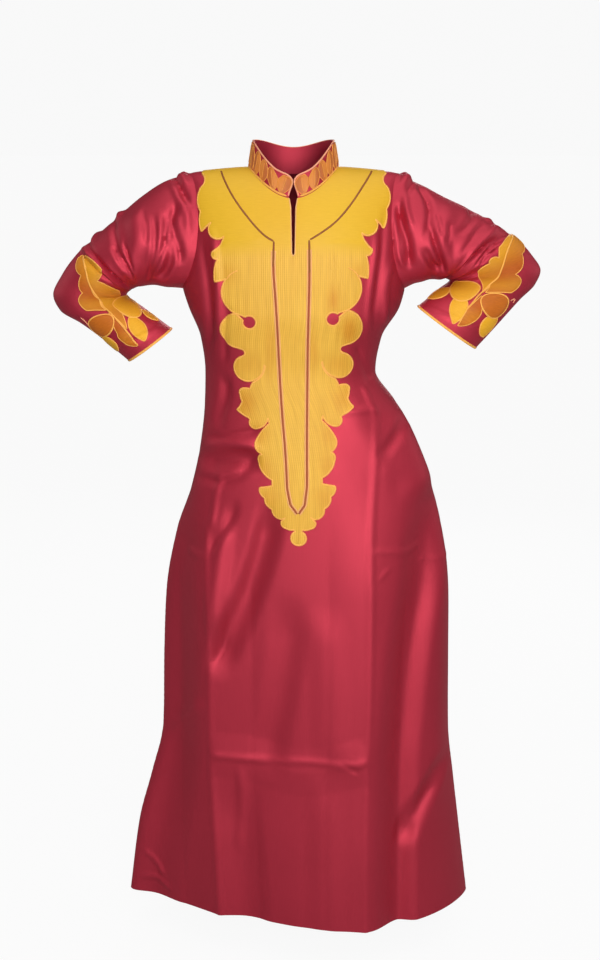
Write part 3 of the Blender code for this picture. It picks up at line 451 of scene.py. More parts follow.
def between(grid, row, col):
    """Points of a grid at fractional rows and columns."""
    row = np.clip(row, 0, grid.shape[0] - 1)
    col = np.clip(col, 0, grid.shape[1] - 1)
    r = np.minimum(row.astype(int), grid.shape[0] - 2)
    c = np.minimum(col.astype(int), grid.shape[1] - 2)
    dr = (row - r)[:, None]
    dc = (col - c)[:, None]
    lower = grid[r, c] * (1 - dc) + grid[r, c + 1] * dc
    upper = grid[r + 1, c] * (1 - dc) + grid[r + 1, c + 1] * dc
    return lower * (1 - dr) + upper * dr


def fold_relief(folds, x, z, uneven):
    """Height of the folds over the plain cloth, at places across and up."""
    relief = np.zeros(len(x))
    for number, fold in enumerate(folds):
        path = np.array(fold.path)
        arc = arc_length(path)
        even = np.linspace(0, arc[-1], 6 * len(path))
        path = np.stack([smooth(arc, path[:, 0], even), smooth(arc, path[:, 1], even)], axis=1)
        low = path.min(axis=0) - 1.5 * fold.width
        high = path.max(axis=0) + 1.5 * fold.width
        near = np.flatnonzero((x > low[0]) & (x < high[0]) & (z > low[1]) & (z < high[1]))
        if not len(near):
            continue
        run = np.diff(path, axis=0)
        length = np.linalg.norm(run, axis=1)
        off_x = x[near, None] - path[None, :-1, 0]
        off_z = z[near, None] - path[None, :-1, 1]
        share = np.clip((off_x * run[:, 0] + off_z * run[:, 1]) / length ** 2, 0, 1)
        away = np.hypot(off_x - share * run[:, 0], off_z - share * run[:, 1])
        part = away.argmin(axis=1)
        rows = np.arange(len(near))
        along = (part + share[rows, part]) / len(run)
        left = np.sign(off_x[rows, part] * run[part, 1] - off_z[rows, part] * run[part, 0])
        wander = uneven * np.sin(7 * along + 2.3 * number)
        side = away[rows, part] * left + WANDER * fold.width * wander
        from_line = np.abs(side) / (fold.width * (1 + fold.lean * np.sign(side)))
        if fold.shape == "soft":
            across = 0.5 + 0.5 * np.cos(math.pi * np.minimum(from_line, 1))
        else:
            blunt = BLUNT[fold.shape]
            across = np.clip(1 + blunt - np.sqrt(from_line ** 2 + blunt ** 2), 0, 1)
            if fold.shape == "crease":
                across = across ** CREASE_POWER
        ends = ease(along / fold.ends) * ease((1 - along) / fold.ends)
        relief[near] += fold.height * across * ends * (1 + SWELL * wander)
    return relief


def shoulder_z(x):
    return -SHOULDER_DROP * (x / SHOULDER_TIP_X) ** 2


def side_seam(hand, z):
    """Points of a side seam; hand is left or right as seen from the front."""
    x = smooth(column(SECTIONS, "z"), column(SECTIONS, hand), z)
    return np.stack([x, np.zeros_like(x), z], axis=1)


def shoulder_seam(x):
    return np.stack([x, np.zeros_like(x), shoulder_z(x)], axis=1)


class Form:
    """A piece of cloth as a map from its flat pattern to its worn shape."""

    outward = 1

    def surface(self, places):
        """Worn points of pattern places, and the ways straight out of the cloth there."""
        places = np.asarray(places, float)
        step = 0.0012
        across = self.worn(places + (step, 0)) - self.worn(places - (step, 0))
        up = self.worn(places + (0, step)) - self.worn(places - (0, step))
        return self.worn(places), unit(np.cross(across, up)) * self.outward


class Panel(Form):
    """Front or back. A pattern place is across, from the middle of the panel, and up.

    Across is measured along the level section. Up is the height, and above the bust it runs on over
    the shoulder to the seam.
    """

    rows = 561
    columns = 321
    section_samples = 481
    shoulder_samples = 400
    armhole_samples = 240
    fade_at_seam = 10

    def __init__(self, toward, depth_name, fullness, has_swing, folds, creases):
        self.toward = toward
        self.outward = -toward
        self.folds = folds
        self.creases = creases
        depth_at_bust = getattr(SECTIONS[-1], depth_name)
        turn = np.linspace(0, math.pi / 2, self.shoulder_samples)
        self.over_out = np.cos(turn).clip(0) ** fullness
        self.over_rise = np.sin(turn)
        steps = np.hypot(np.diff(self.over_out) * depth_at_bust, np.diff(self.over_rise) * BUST_Z)
        self.over_length = np.concatenate(([0], np.cumsum(steps)))
        self.top = BUST_Z + self.over_length[-1]
        self.up = np.linspace(HEM_Z, self.top, self.rows)

        level = np.minimum(self.up, BUST_Z)[:, None]
        beyond = np.maximum(self.up - BUST_Z, 0)[:, None]
        knots = column(SECTIONS, "z")
        left = smooth(knots, column(SECTIONS, "left"), level)
        right = smooth(knots, column(SECTIONS, "right"), level)
        depth = smooth(knots, column(SECTIONS, depth_name), level)
        square = smooth(knots, column(SECTIONS, "square"), level)
        angle = np.linspace(-math.pi / 2, math.pi / 2, self.section_samples)[None, :]
        share_x = np.sign(angle) * np.abs(np.sin(angle)) ** (2 / square)
        share_y = np.cos(angle).clip(0) ** (2 / square)
        x = (left + right) / 2 + (right - left) / 2 * share_x
        y = toward * depth * share_y * np.interp(beyond, self.over_length, self.over_out)
        if has_swing:
            y = y + smooth(knots, column(SECTIONS, "swing"), level) * share_x * (1 - share_x ** 2)
        z = level + (shoulder_z(x) - BUST_Z) * np.interp(beyond, self.over_length, self.over_rise)
        sections = np.stack([x, y, z], axis=2)

        share = np.linspace(-1, 1, self.columns)
        self.plain = np.empty((self.rows, self.columns, 3))
        self.half_width = np.empty(self.rows)
        for r, section in enumerate(sections):
            arc = arc_length(section)
            self.half_width[r] = arc[-1] / 2
            self.plain[r] = points_along(section, arc, (share + 1) * arc[-1] / 2)
        self.ways_out = grid_normals(self.plain) * self.outward

    def worn(self, places):
        across, up = np.asarray(places, float).T
        row = (up - HEM_Z) / (self.top - HEM_Z) * (self.rows - 1)
        share = across / np.interp(up, self.up, self.half_width)
        col = (share + 1) / 2 * (self.columns - 1)
        plain = between(self.plain, row, col)
        x, _, z = plain.T
        lift = fold_relief(self.folds, x, z, 0) + fold_relief(self.creases, x, z, 1)
        lift *= 1 - np.clip(np.abs(share), 0, 1) ** self.fade_at_seam
        return plain + between(self.ways_out, row, col) * lift[:, None]

    def across_at(self, x, up):
        """Pattern place at a height, where the plain cloth has this x."""
        row = np.full(self.columns, (up - HEM_Z) / (self.top - HEM_Z) * (self.rows - 1))
        line = between(self.plain, row, np.arange(self.columns, dtype=float))
        share = np.interp(x, line[:, 0], np.linspace(-1, 1, self.columns))
        return (share * np.interp(up, self.up, self.half_width), up)

    def seen_at(self, x, z):
        """Pattern place seen at (x, z) from the front or behind."""
        rise = (z - BUST_Z) / (shoulder_z(x) - BUST_Z)
        beyond = np.interp(rise, self.over_rise, self.over_length)
        return self.across_at(x, BUST_Z + beyond if z > BUST_Z else z)

    def plan_at(self, x, y):
        """Pattern place above the bust, seen at (x, y) from above."""
        bust = self.plain[np.searchsorted(self.up, BUST_Z)]
        out = y / np.interp(x, bust[:, 0], bust[:, 1])
        beyond = np.interp(out, self.over_out[::-1], self.over_length[::-1])
        return self.across_at(x, BUST_Z + beyond)

    def armhole(self, hand, count):
        """Evenly spaced pattern places along an armhole, from underarm to shoulder."""
        way = np.linspace(0, 1, self.armhole_samples)
        x = smooth(column(ARMHOLE, "way"), column(ARMHOLE, hand), way)
        up = UNDERARM_Z + way * (self.top - UNDERARM_Z)
        places = np.array([self.across_at(*place) for place in zip(x, up)])
        arc = arc_length(self.worn(places))
        return points_along(places, arc, np.linspace(0, arc[-1], count)).tolist()


def inside(loop, places):
    """Which places lie inside a closed loop."""
    loop = np.asarray(loop, float)
    x, y = np.asarray(places, float).T
    found = np.zeros(len(x), bool)
    for (x0, y0), (x1, y1) in zip(loop, np.roll(loop, -1, axis=0)):
        if y0 == y1:
            continue
        found ^= ((y0 > y) != (y1 > y)) & (x < (x1 - x0) * (y - y0) / (y1 - y0) + x0)
    return found


def edge_distance(places, starts, runs):
    """How far places lie from the nearest of some straight edges."""
    off = places[:, None] - starts[None]
    share = np.clip(np.sum(off * runs, axis=2) / np.sum(runs * runs, axis=1), 0, 1)
    return np.linalg.norm(off - share[:, :, None] * runs, axis=2).min(axis=1)


def triangulate(outline, lines, step):
    """Even triangles over a flat pattern that keep its outline and lines as edges.

    Returns the places, the triangles, and the number of each outline point among the places.
    """
    fixed = []
    edges = []
    for number, chain in enumerate([outline, *lines]):
        first = len(fixed)
        fixed.extend(tuple(place) for place in chain)
        edges.extend((i, i + 1) for i in range(first, len(fixed) - 1))
        if number == 0:
            edges.append((len(fixed) - 1, first))
    starts = np.array([fixed[i] for i, _ in edges])
    runs = np.array([fixed[j] for _, j in edges]) - starts
    low = np.min(outline, axis=0)
    high = np.max(outline, axis=0)
    count = int((high[0] - low[0]) / step / 2) + 1
    free = []
    for number, up in enumerate(np.arange(low[1], high[1], step * TRIANGLE_ROW)):
        row = (np.arange(-count, count + 1) + 0.5 * (number % 2)) * step + (low[0] + high[0]) / 2
        row = np.stack([row, np.full(len(row), up)], axis=1)
        close = np.abs(starts[:, 1] + runs[:, 1] / 2 - up) < 2 * step + np.abs(runs[:, 1])
        kept = inside(outline, row)
        if close.any():
            kept &= edge_distance(row, starts[close], runs[close]) > 0.5 * step
        free.extend(row[kept])
    places = [Vector(place) for place in fixed + free]
    found = delaunay_2d_cdt(places, edges, [], 1, 1e-6)
    numbers = {old: new for new, olds in enumerate(found[3]) for old in olds}
    outline_numbers = [numbers[i] for i in range(len(outline))]
    return np.array([tuple(place) for place in found[0]]), np.array(found[2]), outline_numbers


def boundary(faces):
    """Directed edges that only one triangle has."""
    edges = np.concatenate([faces[:, (0, 1)], faces[:, (1, 2)], faces[:, (2, 0)]])
    size = faces.max() + 1
    return edges[~np.isin(edges[:, 0] * size + edges[:, 1], edges[:, 1] * size + edges[:, 0])]


def wall_faces(faces, count):
    """Faces of a closed wall: a skin, the same skin behind it, and the rim that joins them."""
    behind = faces[:, ::-1] + count
    rim = [[b, a, a + count, b + count] for a, b in boundary(faces).tolist()]
    return [*faces.tolist(), *behind.tolist(), *rim]


class Piece:
    """One cut piece of cloth, before it is given its thickness."""

    def __init__(self, form, outline, seams, lines, step, flip):
        self.places, faces, numbers = triangulate(outline, lines, step)
        self.faces = faces[:, ::-1] if flip else faces
        self.points = form.worn(self.places)
        for number, point in seams.items():
            self.points[numbers[number]] = point


def pressed_lines(panel, folds, step):
    """Pattern lines of the pressed edges that run down to the hem."""
    lines = []
    for fold in folds:
        path = np.array(fold.path)
        if fold.shape != "pressed" or path[-1, 1] > HEM_Z:
            continue
        z = np.linspace(path[0, 1], HEM_Z, int((path[0, 1] - HEM_Z) / step) + 1)
        arc = arc_length(path)
        x = smooth(arc, path[:, 0], np.interp(-z, -path[:, 1], arc))
        lines.append([panel.seen_at(*place) for place in zip(x, z)])
    return lines


def panel_piece(panel, neck, folds, step, flip):
    """A body panel with its outline drawn anticlockwise from the hem."""
    outline = []
    seams = {}

    def add(places, worn=()):
        for i, point in enumerate(worn):
            seams[len(outline) + i] = point
        outline.extend(places)

    lines = pressed_lines(panel, folds, step)
    half = panel.half_width[0]
    ends = [line[-1][0] for line in lines]
    hem = np.linspace(-half, half, int(2 * half / step) + 1)[1:-1]
    hem = [across for across in hem if min(abs(across - end) for end in ends) > step / 2]
    levels = np.linspace(HEM_Z, UNDERARM_Z, SIDE_POINTS)
    widths = np.interp(levels, panel.up, panel.half_width)
    tip_to_neck = np.linspace(SHOULDER_TIP_X, NECK_HALF_WIDTH, SHOULDER_POINTS)
    neck_to_tip = -tip_to_neck[::-1]
    add([(across, HEM_Z) for across in sorted([*hem, *ends])])
    add(list(zip(widths, levels)), side_seam("right", levels))
    add(panel.armhole("right", ARMHOLE_POINTS)[1:-1])
    add([panel.across_at(x, panel.top) for x in tip_to_neck], shoulder_seam(tip_to_neck))
    add(neck)
    add([panel.across_at(x, panel.top) for x in neck_to_tip], shoulder_seam(neck_to_tip))
    add(panel.armhole("left", ARMHOLE_POINTS)[-2:0:-1])
    add(list(zip(-widths[::-1], levels[::-1])), side_seam("left", levels[::-1]))
    return Piece(panel, outline, seams, lines, step, flip)


def neck_places(panel, depth, degrees, inset=0):
    """Pattern places round the neck, at angles from the centre line towards the right."""
    turn = np.radians(degrees)
    x = (NECK_HALF_WIDTH + inset) * np.sin(turn)
    y = panel.toward * (depth + inset) * np.cos(turn)
    return [panel.plan_at(*place) for place in zip(x, y)]


def slit_places(panel, inset=0):
    """Pattern places down the right side of the neck slit, its foot, and up the left side."""
    share = np.linspace(SLIT_START, 1, 16)
    half = np.interp(share, (0, 1), (SLIT_HALF_WIDTH, SLIT_FOOT_HALF_WIDTH)) + inset
    z = np.interp(share, (0, 1), (SLIT_TOP_Z, SLIT_BOTTOM_Z))
    right = [panel.seen_at(*place) for place in zip(half, z)]
    foot = [panel.seen_at(0, SLIT_BOTTOM_Z - SLIT_POINT - inset)]
    left = [panel.seen_at(*place) for place in zip(-half[::-1], z[::-1])]
    return right + foot + left


front_form = Panel(-1, "front", FRONT_FULLNESS, True, FRONT_FOLDS, FRONT_CREASES)
back_form = Panel(1, "back", BACK_FULLNESS, False, BACK_FOLDS, BACK_CREASES)
front_neck = (neck_places(front_form, NECK_FRONT, NECK_DEGREES[::-1])
              + slit_places(front_form) + neck_places(front_form, NECK_FRONT, -NECK_DEGREES))
back_neck = neck_places(back_form, NECK_BACK, np.linspace(84, -84, 70))
front = panel_piece(front_form, front_neck, FRONT_FOLDS, FRONT_STEP, False)
back = panel_piece(back_form, back_neck, BACK_FOLDS, BACK_STEP, True)

# Crimson satin: a broad soft shine, fine streaks of thread, a weave and a shade that drifts a little
SATIN_DEEP = (0.43, 0.019, 0.041)
SATIN_BRIGHT = (0.55, 0.029, 0.063)
SATIN_WEAVE = 0.0008
satin = Finish("crimson satin", {"Metallic": 0.65, "Specular IOR Level": 0.8})
streaks = satin.noise((900, 26, 1), 3.0)
drift = satin.noise((7, 5, 1), 2.0)
satin.colour(satin.mix(SATIN_DEEP, SATIN_BRIGHT, 0.55 * streaks + 0.45 * drift))
satin.roughness(0.54 + 0.06 * drift)
weave = satin.waves("X", SATIN_WEAVE) * satin.waves("Y", SATIN_WEAVE)
satin.bump(0.35 * weave + 0.65 * streaks, 0.00016)


def stitched(name, points, faces, finish, sharp_degrees, layers):
    """A piece of the gown from its mesh, with values of the pattern or the tone at its points."""
    mesh = bpy.data.meshes.new(name)
    mesh.from_pydata(points.tolist(), [], faces)
    mesh.materials.append(finish.material)
    for layer, values in layers.items():
        kind, field = ("FLOAT", "value") if values.ndim == 1 else ("FLOAT_VECTOR", "vector")
        mesh.attributes.new(layer, kind, "POINT").data.foreach_set(field, values.ravel())
    mesh.shade_smooth()
    mesh.set_sharp_from_angle(angle=math.radians(sharp_degrees))
    piece = bpy.data.objects.new(name, mesh)
    scene.collection.objects.link(piece)
    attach(piece, "root")
    return piece


def cloth_wall(name, piece):
    """A closed thin wall of satin, from the surface of a cut piece inward."""
    points = np.concatenate([piece.points, piece.points - piece.normals * CLOTH])
    pattern = np.pad(piece.places, ((0, 0), (0, 1)))
    layers = {"pattern": np.concatenate([pattern, pattern])}
    return stitched(name, points, wall_faces(piece.faces, len(piece.points)), satin, 55, layers)


# Sleeves
# Three-quarter sleeves in the same satin, set in at the armhole and bent sharply at the elbow. The
# cloth rides up in ring-wise folds between underarm and elbow and hangs smooth over the forearm.
SLEEVE_GIRTH = 0.430
SLEEVE_LENGTH = 0.440
SLEEVE_HEAD_SHARE = 0.3
SLEEVE_STEP = 0.0032
GATHER_HEIGHT = 0.0016
GATHER_REACH = 0.022
GATHER_HALF_WIDTH = 0.13
SEAM_DEPTH = 0.0011
SEAM_WIDTH = 0.0045

# Rings from armhole to cuff: outer and inner point seen from the front, and depth
Ring = namedtuple("Ring", "out_x out_z in_x in_z centre_y half_depth")
LEFT_RINGS = (
    Ring(-0.185, -0.012, -0.201, -0.215, 0.000, 0.062),
    Ring(-0.226, -0.026, -0.222, -0.213, 0.004, 0.070),
    Ring(-0.269, -0.053, -0.251, -0.209, 0.009, 0.072),
    Ring(-0.309, -0.086, -0.272, -0.210, 0.014, 0.071),
    Ring(-0.347, -0.118, -0.284, -0.214, 0.018, 0.069),
    Ring(-0.383, -0.149, -0.292, -0.218, 0.021, 0.066),
    Ring(-0.415, -0.189, -0.299, -0.224, 0.022, 0.062),
    Ring(-0.433, -0.226, -0.301, -0.228, 0.018, 0.059),
    Ring(-0.420, -0.254, -0.296, -0.233, 0.010, 0.056),
    Ring(-0.381, -0.275, -0.280, -0.240, -0.006, 0.053),
    Ring(-0.342, -0.300, -0.257, -0.253, -0.024, 0.050),
    Ring(-0.316, -0.319, -0.237, -0.266, -0.036, 0.048),
    Ring(-0.292, -0.337, -0.215, -0.280, -0.047, 0.046),
)
RIGHT_RINGS = (
    Ring(0.185, -0.012, 0.201, -0.215, 0.000, 0.062),
    Ring(0.222, -0.030, 0.224, -0.204, 0.004, 0.070),
    Ring(0.265, -0.053, 0.244, -0.199, 0.009, 0.072),
    Ring(0.314, -0.076, 0.259, -0.198, 0.014, 0.071),
    Ring(0.359, -0.102, 0.269, -0.198, 0.018, 0.069),
    Ring(0.396, -0.125, 0.275, -0.198, 0.021, 0.066),
    Ring(0.425, -0.154, 0.279, -0.199, 0.022, 0.062),
    Ring(0.443, -0.183, 0.280, -0.202, 0.018, 0.059),
    Ring(0.433, -0.207, 0.275, -0.206, 0.010, 0.056),
    Ring(0.405, -0.232, 0.263, -0.211, -0.006, 0.053),
    Ring(0.377, -0.259, 0.249, -0.219, -0.024, 0.050),
    Ring(0.349, -0.288, 0.235, -0.229, -0.036, 0.048),
    Ring(0.322, -0.315, 0.219, -0.240, -0.047, 0.046),
)

# Large folds, as shares: place along the sleeve, slant, half width; in degrees round the sleeve from
# its outer edge (the front is -90): middle and reach; and height over the cloth
SleeveFold = namedtuple("SleeveFold", "along slant width turn reach height")
SLEEVE_FOLDS = (
    SleeveFold(0.13, 0.05, 0.050, -115, 80, 0.007),
    SleeveFold(0.27, 0.04, 0.048, -120, 75, 0.007),
    SleeveFold(0.40, 0.00, 0.045, -125, 65, 0.007),
    SleeveFold(0.53, -0.05, 0.040, -130, 55, 0.005),
    SleeveFold(0.16, 0.05, 0.052, 115, 80, 0.007),
    SleeveFold(0.31, 0.02, 0.050, 120, 75, 0.007),
    SleeveFold(0.46, -0.03, 0.045, 125, 65, 0.006),
)

# Creases on the flat pattern: round the sleeve and along it
LEFT_CREASES = (
    Fold(((0.050, 0.010), (0.000, 0.012), (-0.045, 0.010)), 0.011, 0.0060),
    Fold(((0.010, 0.022), (-0.012, 0.021), (-0.049, 0.018), (-0.072, 0.006)), 0.008, -0.0060, "crease"),
    Fold(((-0.016, 0.030), (-0.034, 0.027), (-0.059, 0.023), (-0.081, 0.014), (-0.115, 0.010)),
         0.009, 0.0034),
    Fold(((-0.052, 0.030), (-0.068, 0.033), (-0.082, 0.037), (-0.101, 0.032), (-0.118, 0.026),
          (-0.150, 0.022)), 0.011, -0.0085, "crease"),
    Fold(((-0.100, 0.042), (-0.128, 0.038), (-0.150, 0.047), (-0.172, 0.066)), 0.013, -0.0080),
    Fold(((-0.058, 0.043), (-0.073, 0.044), (-0.091, 0.046), (-0.115, 0.050), (-0.139, 0.060),
          (-0.178, 0.080)), 0.007, -0.0050, "crease"),
    Fold(((-0.062, 0.061), (-0.078, 0.060), (-0.099, 0.059), (-0.117, 0.060), (-0.140, 0.069),
          (-0.178, 0.088)), 0.008, -0.0060, "crease"),
    Fold(((-0.045, 0.072), (-0.084, 0.071), (-0.112, 0.072)), 0.006, -0.0030, "crease"),
    Fold(((-0.030, 0.088), (-0.089, 0.088), (-0.128, 0.096), (-0.172, 0.104)), 0.022, 0.0055),
    Fold(((0.016, 0.119), (-0.015, 0.119), (-0.064, 0.121), (-0.100, 0.124), (-0.125, 0.121),
          (-0.168, 0.114)), 0.010, -0.0075, "crease"),
    Fold(((-0.078, 0.109), (-0.112, 0.109), (-0.148, 0.104)), 0.006, -0.0045, "crease"),
    Fold(((-0.070, 0.133), (-0.108, 0.130), (-0.140, 0.127)), 0.007, -0.0045, "crease"),
    Fold(((0.020, 0.164), (-0.033, 0.166), (-0.077, 0.166), (-0.109, 0.167), (-0.134, 0.164),
          (-0.188, 0.156)), 0.008, -0.0070, "crease"),
    Fold(((0.010, 0.175), (-0.031, 0.175), (-0.081, 0.173), (-0.115, 0.175), (-0.142, 0.175),
          (-0.172, 0.170)), 0.008, 0.0045),
    Fold(((-0.010, 0.184), (-0.050, 0.182), (-0.086, 0.181), (-0.120, 0.183), (-0.156, 0.187)),
         0.008, -0.0055, "crease"),
    Fold(((0.034, 0.111), (0.000, 0.111), (-0.030, 0.111)), 0.012, 0.0055),
    Fold(((0.034, 0.152), (0.000, 0.153), (-0.030, 0.154)), 0.012, 0.0045),
    Fold(((-0.185, 0.160), (-0.205, 0.176), (-0.212, 0.190)), 0.012, -0.0050),
    Fold(((0.020, 0.040), (0.080, 0.036), (0.165, 0.020)), 0.010, -0.0060, "crease"),
    Fold(((0.020, 0.078), (0.090, 0.068), (0.175, 0.050)), 0.011, -0.0060, "crease"),
    Fold(((0.015, 0.128), (0.100, 0.108), (0.185, 0.076)), 0.011, -0.0070, "crease"),
    Fold(((0.050, 0.098), (0.110, 0.086), (0.165, 0.066)), 0.010, 0.0040),
    Fold(((0.030, 0.168), (0.110, 0.146), (0.195, 0.104)), 0.010, -0.0065, "crease"),
    Fold(((0.070, 0.196), (0.130, 0.176), (0.200, 0.136)), 0.010, -0.0045, "crease"),
    Fold(((-0.040, 0.398), (-0.110, 0.410), (-0.200, 0.418)), 0.014, 0.0022),
)
RIGHT_CREASES = (
    Fold(((0.050, 0.011), (0.000, 0.014), (-0.040, 0.012)), 0.012, 0.0085),
    Fold(((0.012, 0.028), (-0.020, 0.027), (-0.050, 0.022)), 0.008, -0.0040, "crease"),
    Fold(((-0.042, 0.015), (-0.077, 0.024), (-0.098, 0.028)), 0.009, 0.0034),
    Fold(((-0.055, 0.009), (-0.077, 0.012), (-0.095, 0.015), (-0.117, 0.021), (-0.160, 0.027)),
         0.013, -0.0100, "crease"),
    Fold(((-0.073, 0.001), (-0.106, 0.003), (-0.131, 0.006), (-0.160, 0.015)), 0.008, 0.0034),
    Fold(((0.012, 0.034), (-0.021, 0.041), (-0.043, 0.053), (-0.064, 0.056), (-0.091, 0.053),
          (-0.118, 0.047)), 0.009, -0.0062, "crease"),
    Fold(((-0.076, 0.061), (-0.090, 0.062), (-0.108, 0.067), (-0.131, 0.081), (-0.162, 0.112)),
         0.009, -0.0080, "crease"),
    Fold(((-0.120, 0.044), (-0.141, 0.062), (-0.164, 0.100)), 0.013, -0.0080),
    Fold(((-0.068, 0.086), (-0.090, 0.088), (-0.110, 0.088)), 0.006, -0.0036, "crease"),
    Fold(((-0.060, 0.066), (-0.080, 0.072), (-0.098, 0.079)), 0.006, -0.0036, "crease"),
    Fold(((-0.020, 0.082), (-0.080, 0.080), (-0.130, 0.098), (-0.165, 0.122)), 0.016, 0.0036),
    Fold(((0.014, 0.112), (-0.001, 0.113), (-0.035, 0.113), (-0.065, 0.109), (-0.092, 0.099)),
         0.009, -0.0065, "crease"),
    Fold(((0.018, 0.173), (-0.004, 0.171), (-0.053, 0.158), (-0.086, 0.151), (-0.118, 0.149),
          (-0.155, 0.152)), 0.009, -0.0078, "crease"),
    Fold(((-0.026, 0.172), (-0.060, 0.165), (-0.079, 0.163), (-0.103, 0.167), (-0.134, 0.177)),
         0.007, -0.0055, "crease"),
    Fold(((0.004, 0.157), (-0.040, 0.147), (-0.064, 0.144), (-0.102, 0.139), (-0.131, 0.141),
          (-0.164, 0.138)), 0.010, 0.0045),
    Fold(((-0.066, 0.174), (-0.092, 0.173), (-0.122, 0.186)), 0.007, -0.0045, "crease"),
    Fold(((-0.030, 0.132), (-0.075, 0.126), (-0.120, 0.118)), 0.009, -0.0040, "crease"),
    Fold(((0.032, 0.136), (0.000, 0.136), (-0.026, 0.136)), 0.010, 0.0045),
    Fold(((-0.170, 0.140), (-0.196, 0.160), (-0.210, 0.180)), 0.012, -0.0050),
    Fold(((0.020, 0.044), (0.080, 0.038), (0.165, 0.018)), 0.010, -0.0060, "crease"),
    Fold(((0.020, 0.084), (0.090, 0.070), (0.175, 0.046)), 0.011, -0.0065, "crease"),
    Fold(((0.015, 0.132), (0.100, 0.112), (0.185, 0.078)), 0.011, -0.0070, "crease"),
    Fold(((0.050, 0.104), (0.110, 0.090), (0.165, 0.068)), 0.010, 0.0040),
    Fold(((0.030, 0.170), (0.110, 0.148), (0.195, 0.106)), 0.010, -0.0065, "crease"),
    Fold(((-0.040, 0.402), (-0.110, 0.412), (-0.200, 0.420)), 0.014, 0.0022),
)


class Sleeve(Form):
    """A bent sleeve. A pattern place is round, from the outer edge towards the back, and along."""

    rows = 241
    columns = 361

    def __init__(self, rings, armhole_line, folds, creases):
        self.creases = creases
        along = np.linspace(0, 1, self.rows)[:, None]
        turn = np.linspace(-math.pi, math.pi, self.columns)[None, :]
        knots = np.linspace(0, 1, len(rings))
        out_x, out_z, in_x, in_z, centre_y, half_depth = (
            smooth(knots, column(rings, name), along) for name in Ring._fields)
        x = (out_x + in_x) / 2 + (out_x - in_x) / 2 * np.cos(turn)
        y = centre_y + half_depth * np.sin(turn)
        z = (out_z + in_z) / 2 + (out_z - in_z) / 2 * np.cos(turn)
        grid = np.stack([x, y, z], axis=2)
        arc = arc_length(armhole_line)
        tip = np.argmax(armhole_line[:, 2])
        place = np.interp(turn[0], (-math.pi, 0, math.pi), (0, arc[tip], arc[-1]))
        first = points_along(armhole_line, arc, place)
        head = np.clip(1 - along / SLEEVE_HEAD_SHARE, 0, 1) ** 2
        grid = grid + head[:, :, None] * (first - grid[0])[None]
        wrapped = np.concatenate([grid[:, -2:-1], grid, grid[:, 1:2]], axis=1)
        ways_out = grid_normals(wrapped)[:, 1:-1]
        if np.sum(ways_out * (grid - grid.mean(axis=1, keepdims=True))) < 0:
            ways_out = -ways_out
            self.outward = -1
        degrees = np.degrees(turn)
        lift = np.zeros_like(along * turn)
        for fold in folds:
            from_fold = (degrees - fold.turn + 180) % 360 - 180
            off = (along - fold.along - fold.slant * from_fold / 90) / fold.width
            reach = np.cos(np.clip(from_fold / fold.reach, -1, 1) * math.pi / 2) ** 2
            lift += fold.height * np.exp(-off ** 2) * reach
        lift *= ease(along / 0.08) * ease((1 - along) / 0.12)
        self.plain = grid + ways_out * lift[:, :, None]
        self.ways_out = ways_out

    def worn(self, places):
        around, along = np.asarray(places, float).T
        row = along / SLEEVE_LENGTH * (self.rows - 1)
        col = (around / SLEEVE_GIRTH + 0.5) * (self.columns - 1)
        lift = fold_relief(self.creases, around, along, 1)
        ripple = np.sin(around * 260 + 2 * np.sin(around * 47))
        gathers = GATHER_HEIGHT * ripple * np.exp(-along / GATHER_REACH)
        lift += gathers * ease(1 - np.abs(around) / GATHER_HALF_WIDTH)
        lift *= ease(along / 0.012) * ease((SLEEVE_GIRTH / 2 - np.abs(around)) / 0.02)
        return between(self.plain, row, col) + between(self.ways_out, row, col) * lift[:, None]


def sleeve_piece(form, line, tip):
    """A sleeve whose armhole edge has the same points as the panels that it is sewn to."""
    half = SLEEVE_GIRTH / 2
    arc = arc_length(line)
    around = np.interp(arc, (0, arc[tip], arc[-1]), (-half, 0, half))
    alongs = np.linspace(0, SLEEVE_LENGTH, int(SLEEVE_LENGTH / SLEEVE_STEP) + 1)
    cuff = np.linspace(half, -half, int(SLEEVE_GIRTH / SLEEVE_STEP) + 1)
    outline = [(place, 0.0) for place in around]
    outline += [(half, along) for along in alongs[1:-1]]
    outline += [(place, SLEEVE_LENGTH) for place in cuff]
    outline += [(-half, along) for along in alongs[-2:0:-1]]
    return Piece(form, outline, dict(enumerate(line)), [], SLEEVE_STEP, form.outward < 0)


